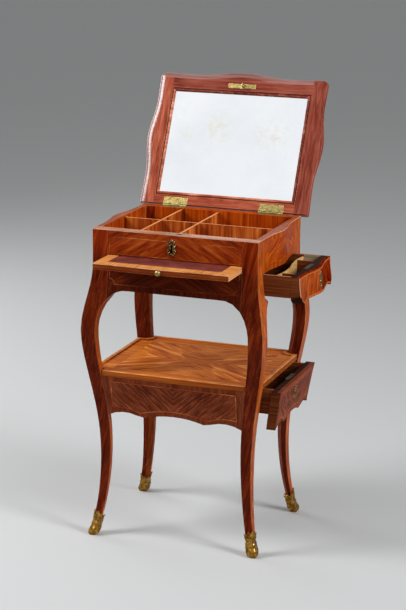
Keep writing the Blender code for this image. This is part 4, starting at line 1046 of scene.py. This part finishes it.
profile = [(BEAD, BEAD_DEPTH), (BEAD, BEAD_SHOULDER)]
for n in range(BEAD_STEPS + 1):
    turn = pi * n / BEAD_STEPS
    profile.append((ROUND_PLACE + ROUND_HALF * cos(turn), ROUND_LOW - ROUND_RISE * sin(turn)))
profile += GROOVE
bm = bmesh.new()
rings = rings_of(bm, hole, [(amount, LID_FACE + depth) for amount, depth in profile], closed=True)
groove = {vert for ring in rings[-len(GROOVE) - 1:] for vert in ring}
for face in bm.faces:
    spot = lid_spot(face)
    if all(vert in groove for vert in face.verts):
        face.material_index = 1
    elif spot.x > GLASS_HALF or spot.y < GLASS_FRONT:
        face.material_index = 2
BEAD_LOOKS = "bead_mahogany groove_mahogany shaded_bead"
piece("mirror_moulding", bm, BEAD_LOOKS, "lid", "tulipwood_veneer", "mirror_bead")

top_low, top_high = LID_FRONT + TOP_SIDE_MARGIN, LID_BACK - TOP_BACK_MARGIN
lid_middle = lid_place(0, (top_low + top_high) / 2, LID_TOP)
wood("lid_field", SIDE_TONES, (0, 38, 0), (0.35, 0.010), {0: lid_middle.x, 2: lid_middle.z}, contrast=1.2)
top_half = LID_HALF - TOP_SIDE_MARGIN
bordered("lid", "lid", lid_level(LID_TOP), -top_half, top_half, top_low, top_high)

# Rococo key plates: scrolls round an opening backed in black as painted shade, drawn in millimetres on the
# right half

MM = 0.001
PLATE_EDGE = (
    (0, 21), (1.8, 18.9), (3.0, 16.7), (5.6, 17.0), (7.5, 14.8), (7.0, 12.6), (9.6, 11.2), (11.3, 8.0),
    (10.3, 4.6), (7.9, 1.8), (7.5, -1.4), (9.6, -4.2), (10.4, -7.6), (8.6, -10.8), (5.6, -12.0),
    (5.2, -14.2), (3.4, -16.2), (1.8, -18.2), (0, -21),
)
PLATE_HOLE = (
    (0, 7.6), (1.6, 7.0), (2.2, 5.4), (1.7, 3.4), (1.3, 1.2), (1.5, -1.5), (2.3, -4.5), (2.9, -7.2),
    (2.5, -9.2), (1.2, -10.3), (0, -10.6),
)
PLATE_SCROLLS = (
    ((1.8, 12.0), (4.6, 12.8), (8.2, 11.2), (9.7, 8.2), (8.9, 5.4), (6.6, 4.6), (5.4, 6.2)),
    ((5.2, 3.2), (4.9, 0), (5.8, -3.0), (8.3, -5.0), (8.7, -8.4), (6.4, -10.4), (4.8, -8.6)),
    ((0, 10.5), (0, 19.8)),
    ((0.8, 13.0), (2.8, 15.2), (5.6, 15.6)),
    ((0, -12.6), (0, -19.8)),
    ((1.4, -12.6), (3.6, -13.8), (2.8, -15.8)),
)
PLATE_BASE, PLATE_RIDGE, RIDGE_WIDTH = 0.7, 1.5, 1.0
PLATE_RIM, PLATE_FALL, HOLE_LAP = (0.6, 0.1, 0.12), 0.08, 0.3
PLATE_TURNS, PLATE_ROWS = 96, 10


def hump(value, rise, centre, width):
    return rise * exp(-(((value - centre) / width) ** 2))


def smooth_line(points, steps=6):
    """Curve through points."""
    ends = [points[0], *points, points[-1]]
    line = []
    for corners in zip(ends, ends[1:], ends[2:], ends[3:]):
        a, b, c, d = map(Vector, corners)
        for n in range(steps):
            t = n / steps
            bend = (c - a) * t + (2 * a - 5 * b + 4 * c - d) * t**2 + (3 * b - a - 3 * c + d) * t**3
            line.append(b + bend / 2)
    return line + [Vector(points[-1])]


def polar(half_line):
    """Angles, counted from the top, and radii of a half outline."""
    return [atan2(x, y) for x, y in half_line], [hypot(x, y) for x, y in half_line]


def distance_to(line, point):
    nearest = inf
    for start, end in zip(line, line[1:]):
        _, share = intersect_point_line(point, start, end)
        nearest = min(nearest, (point - start.lerp(end, clamp(share))).length)
    return nearest


EDGE_POLAR, HOLE_POLAR = polar(smooth_line(PLATE_EDGE)), polar(smooth_line(PLATE_HOLE))
SCROLL_LINES = [smooth_line(line, 4) for line in PLATE_SCROLLS]


def plate_height(x, y, share):
    """Height of the casting: scroll ridges, and a rim round the opening."""
    away = min(distance_to(line, Vector((abs(x), y))) for line in SCROLL_LINES)
    edge = min(share, 1 - share) / PLATE_FALL
    relief = hump(away, PLATE_RIDGE, 0, RIDGE_WIDTH) + hump(share, *PLATE_RIM)
    return PLATE_BASE * min(0.5 + edge / 2, 1) + relief * min(edge, 1)


def key_plate(name, node, view, body, scale):
    """Cast key plate laid on a face, with its opening backed by a black sheet: painted shade."""
    face = caster(node, view)
    spot = middle_of(name) - CENTRE
    across = spot.x if view == "front" else spot.y
    unit = MM * scale

    def place(turn, reach, lift):
        return face(across + unit * reach * sin(turn), spot.z + unit * reach * cos(turn), lift)

    bm = bmesh.new()
    columns, hole = [], []
    for n in range(PLATE_TURNS):
        turn = 2 * pi * n / PLATE_TURNS
        angle = abs(remainder(turn, 2 * pi))
        near, far = numpy.interp(angle, *HOLE_POLAR), numpy.interp(angle, *EDGE_POLAR)
        points = [place(turn, near, -SINK)]
        for row in range(PLATE_ROWS + 1):
            share = row / PLATE_ROWS
            reach = near + (far - near) * share
            height = plate_height(reach * sin(turn), reach * cos(turn), share)
            points.append(place(turn, reach, unit * height))
        points.append(place(turn, far, -SINK))
        columns.append(verts(bm, points))
        hole.append((turn, near + HOLE_LAP))
    skin(bm, columns, closed=True)
    cast = len(bm.faces)
    # Black sheet in the opening: painted shade.
    slab(bm, hole, place, LIFT)
    for dark in list(bm.faces)[cast:]:
        dark.material_index = 1
    plate = name.replace("escutcheon", "key_plate")
    piece(plate, bm, "aged_bronze keyhole_black", body, "gilt_bronze", name)


key_plate("front_escutcheon", "front_panel", "front", "frame", 1.0)
for drawer in ("upper_drawer", "lower_drawer"):
    key_plate(f"{drawer}_escutcheon", f"{drawer}_front", "right", drawer, 0.90)

# Sabots: leafy shoes with a ring, lobed toe and small volutes

ANKLE_HEIGHT, ANKLE_IN, ANKLE_WIDTH = 0.185, 0.0122, 0.023
FOOT_OUT, FOOT_WIDTH, FOOT_FLARE = 0.008, 0.0150, 2.2
FOOT_TUCK, FOOT_TUCK_HEIGHT, FLOOR_GAP = 0.0022, 0.003, 0.0002
SABOT_WALL, SABOT_HEIGHT, SABOT_RISE, SABOT_SCALLOP = 0.0016, 0.047, 0.008, 0.0024
TOE, TOE_LOBES = (0.0030, 0.011, 0.009), (0.0009, 0.012, 0.008)
RING, SMALL_RING = (0.0013, 0.0285, 0.0022), (0.0006, 0.0245, 0.0012)
VOLUTE, VOLUTE_TURN, VOLUTE_SPAN = (0.0026, 0.021, 0.0045), 1.9, 0.30
LEAF_FOOT, LEAF_RISE, LEAF_DEPTH, LEAF_VEINS = 0.032, 0.008, 0.0008, (0.0007, 0.85, 0.2)
LIP, LIP_FROM = 0.0012, 0.88
INNER_SHARE, INNER_LAP = 0.97, 0.0006
LOBES = 8
SQUARENESS = 6
SABOT_TURNS, SABOT_ROWS = 64, 30


def sabot_swell(turn, z, share):
    """How far the casting stands off the leg; turn is counted from the outer corner."""
    outward = 0.65 + 0.35 * cos(turn)
    lobes = cos(LOBES * turn)
    swell = SABOT_WALL + outward * hump(z, *TOE) + lobes * hump(z, *TOE_LOBES)
    swell += hump(z, *RING) + hump(z, *SMALL_RING)
    leaf = clamp((z - LEAF_FOOT) / LEAF_RISE)
    swell += leaf * (LEAF_DEPTH * lobes + cos(2 * LOBES * turn) * hump(share, *LEAF_VEINS))
    swell += LIP * max((share - LIP_FROM) / (1 - LIP_FROM), 0)
    for side in (-1, 1):
        away = remainder(turn - side * VOLUTE_TURN, 2 * pi)
        swell += hump(away, 1, 0, VOLUTE_SPAN) * hump(z, *VOLUTE)
    return swell - FOOT_TUCK * max(1 - z / FOOT_TUCK_HEIGHT, 0)


def sabot_point(side_x, side_y, turn, share, inside=False):
    top = SABOT_HEIGHT + SABOT_RISE * cos(turn) + SABOT_SCALLOP * cos(LOBES * turn)
    z = FLOOR_GAP + top * share
    line = (FOOT_OUT + ANKLE_IN) * (1 - z / ANKLE_HEIGHT) ** FOOT_FLARE - ANKLE_IN
    half = (FOOT_WIDTH + (ANKLE_WIDTH - FOOT_WIDTH) * z / ANKLE_HEIGHT) / 2
    out_x, out_y = cos(turn + pi / 4), sin(turn + pi / 4)
    if inside:
        reach = (half - INNER_LAP) / max(abs(out_x), abs(out_y))
    else:
        roundness = (abs(out_x) ** SQUARENESS + abs(out_y) ** SQUARENESS) ** (1 / SQUARENESS)
        reach = (half + sabot_swell(turn, z, share)) / roundness
    u, v = line - half + reach * out_x, line - half + reach * out_y
    return CENTRE + Vector((side_x * (HALF_X + u), side_y * (HALF_Y + v), z))


turns = [2 * pi * n / SABOT_TURNS for n in range(SABOT_TURNS)]
levels = [(row / SABOT_ROWS, False) for row in range(SABOT_ROWS + 1)] + [(INNER_SHARE, True)]
for place_y, side_y in (("front", -1), ("rear", 1)):
    for place_x, side_x in (("left", -1), ("right", 1)):
        bm = bmesh.new()
        rings = []
        for share, inside in levels:
            ring = [sabot_point(side_x, side_y, turn, share, inside) for turn in turns]
            rings.append(verts(bm, ring))
        skin(bm, rings, capped=True)
        corner = f"{place_y}_{place_x}"
        piece(f"sabot_{corner}", bm, "gilt_bronze", "frame", "gilt_bronze", f"shoe_{corner}")

# Screws of the hinges, keep and lock

HINGE_SCREW, LOCK_SCREW, SCREW_SLOT, SCREW_LIFT = 0.0019, 0.0021, 0.0003, 0.0001
HINGE_PLACE = 0.1135
HINGE_SCREWS = ((-0.020, 0.1385), (0.0, 0.1360), (0.020, 0.1385))
LOCK_SCREWS = ((-0.0275, -0.137), (0.0275, -0.137))


def screw(bm, u, v, turn, place, radius):
    """Flush screw head in two halves beside its slot."""
    gap = degrees(asin(SCREW_SLOT / radius))
    for start in (degrees(turn), degrees(turn) + 180):
        slab(bm, arc((u, v), radius, start + gap, start + 180 - gap, 10), place, SCREW_LIFT)


lid_under = lid_level(LID_UNDER, -1)
lid_screws, case_screws = bmesh.new(), bmesh.new()
for side in (-1, 1):
    for n, (x, y) in enumerate(HINGE_SCREWS):
        u = side * HINGE_PLACE + x
        screw(lid_screws, u, y, 0.4 + 0.9 * n + side, lid_under, HINGE_SCREW)
        screw(case_screws, u, y, 1.1 + 0.7 * n - side, rim_place, HINGE_SCREW)
for n, (x, y) in enumerate(LOCK_SCREWS):
    screw(lid_screws, x, y, 0.6 + 1.3 * n, lid_under, LOCK_SCREW)
    screw(case_screws, x, y, 1.9 + 0.8 * n, rim_place, LOCK_SCREW)
piece("lid_screws", lid_screws, "screw_brass", "lid", "brass")
piece("case_screws", case_screws, "screw_brass", "frame", "brass")

# Stage

FLOOR_HALF = 30.0
WORLD_LIGHT, SEEN_LIGHT, SEEN_LOW = 0.28, 1.0, 0.35
corners = [(x, y, 0) for x, y in rectangle(FLOOR_HALF, -FLOOR_HALF, -FLOOR_HALF, FLOOR_HALF)]
floor_mesh = bpy.data.meshes.new("floor")
floor_mesh.from_pydata(corners, [], [(0, 1, 2, 3)])
floor = shown("floor", floor_mesh)
floor_look, _, _ = new_finish("pale_floor")
finish(floor_look, (0.52, 0.53, 0.535, 1), 0.65, **{"Specular IOR Level": 0.2})
floor_mesh.materials.append(floor_look)

world = bpy.data.worlds.new("studio")
SCENE.world = world
world.use_nodes = True
sky = world.node_tree
path = add("LightPath", {}, sky)
seen = maths("MAXIMUM", path["Is Glossy Ray"], path["Is Transmission Ray"])
seen = maths("MAXIMUM", path["Is Camera Ray"], seen)
height = part(add("TexCoord", {}, sky)["Generated"], 2)
glow = greys(height, (0.28, SEEN_LOW), (0.48, SEEN_LIGHT))
strength = maths("MULTIPLY_ADD", seen, maths("SUBTRACT", glow, WORLD_LIGHT), WORLD_LIGHT)
put(sky.nodes["Background"], {0: (1.0, 1.0, 1.0, 1), 1: strength})


def lamp(name, place, target, size, power):
    data = bpy.data.lights.new(name, "AREA")
    data.shape = "DISK"
    data.size = size
    data.energy = power
    made = shown(name, data)
    made.location = place
    made.rotation_euler = (Vector(target) - Vector(place)).to_track_quat("-Z", "Y").to_euler()


lamp("key", (2.8, -0.8, 2.1), (0, 0, 0.5), 1.2, 84)
lamp("fill", (-2.4, -2.6, 1.8), (0, 0, 0.5), 1.8, 10)
lamp("top", (-2.0, -1.1, 2.5), (0, 0, 0.6), 1.2, 70)
lamp("back", (-2.7, 1.1, 1.4), (0, 0, 0.6), 1.6, 34)

# Camera at the photograph's angle

FOCAL_PIXELS = 1813.35
FRAME_LONG = 610
SENSOR = 36.0
YAW, PITCH, ROLL = (radians(a) for a in (19.86, 14.33, 0.61))
CAMERA_PLACE = CENTRE + Vector((1.314, -3.605, 1.485))

camera_data = bpy.data.cameras.new("camera")
camera_data.sensor_width = SENSOR
camera_data.lens = FOCAL_PIXELS * SENSOR / FRAME_LONG
camera = shown("camera", camera_data)
tilt = Matrix.Rotation(pi / 2 - PITCH, 4, "X") @ Matrix.Rotation(ROLL, 4, "Z")
camera.matrix_world = Matrix.Translation(CAMERA_PLACE) @ Matrix.Rotation(YAW, 4, "Z") @ tilt
SCENE.camera = camera
SCENE.view_settings.view_transform = "Standard"
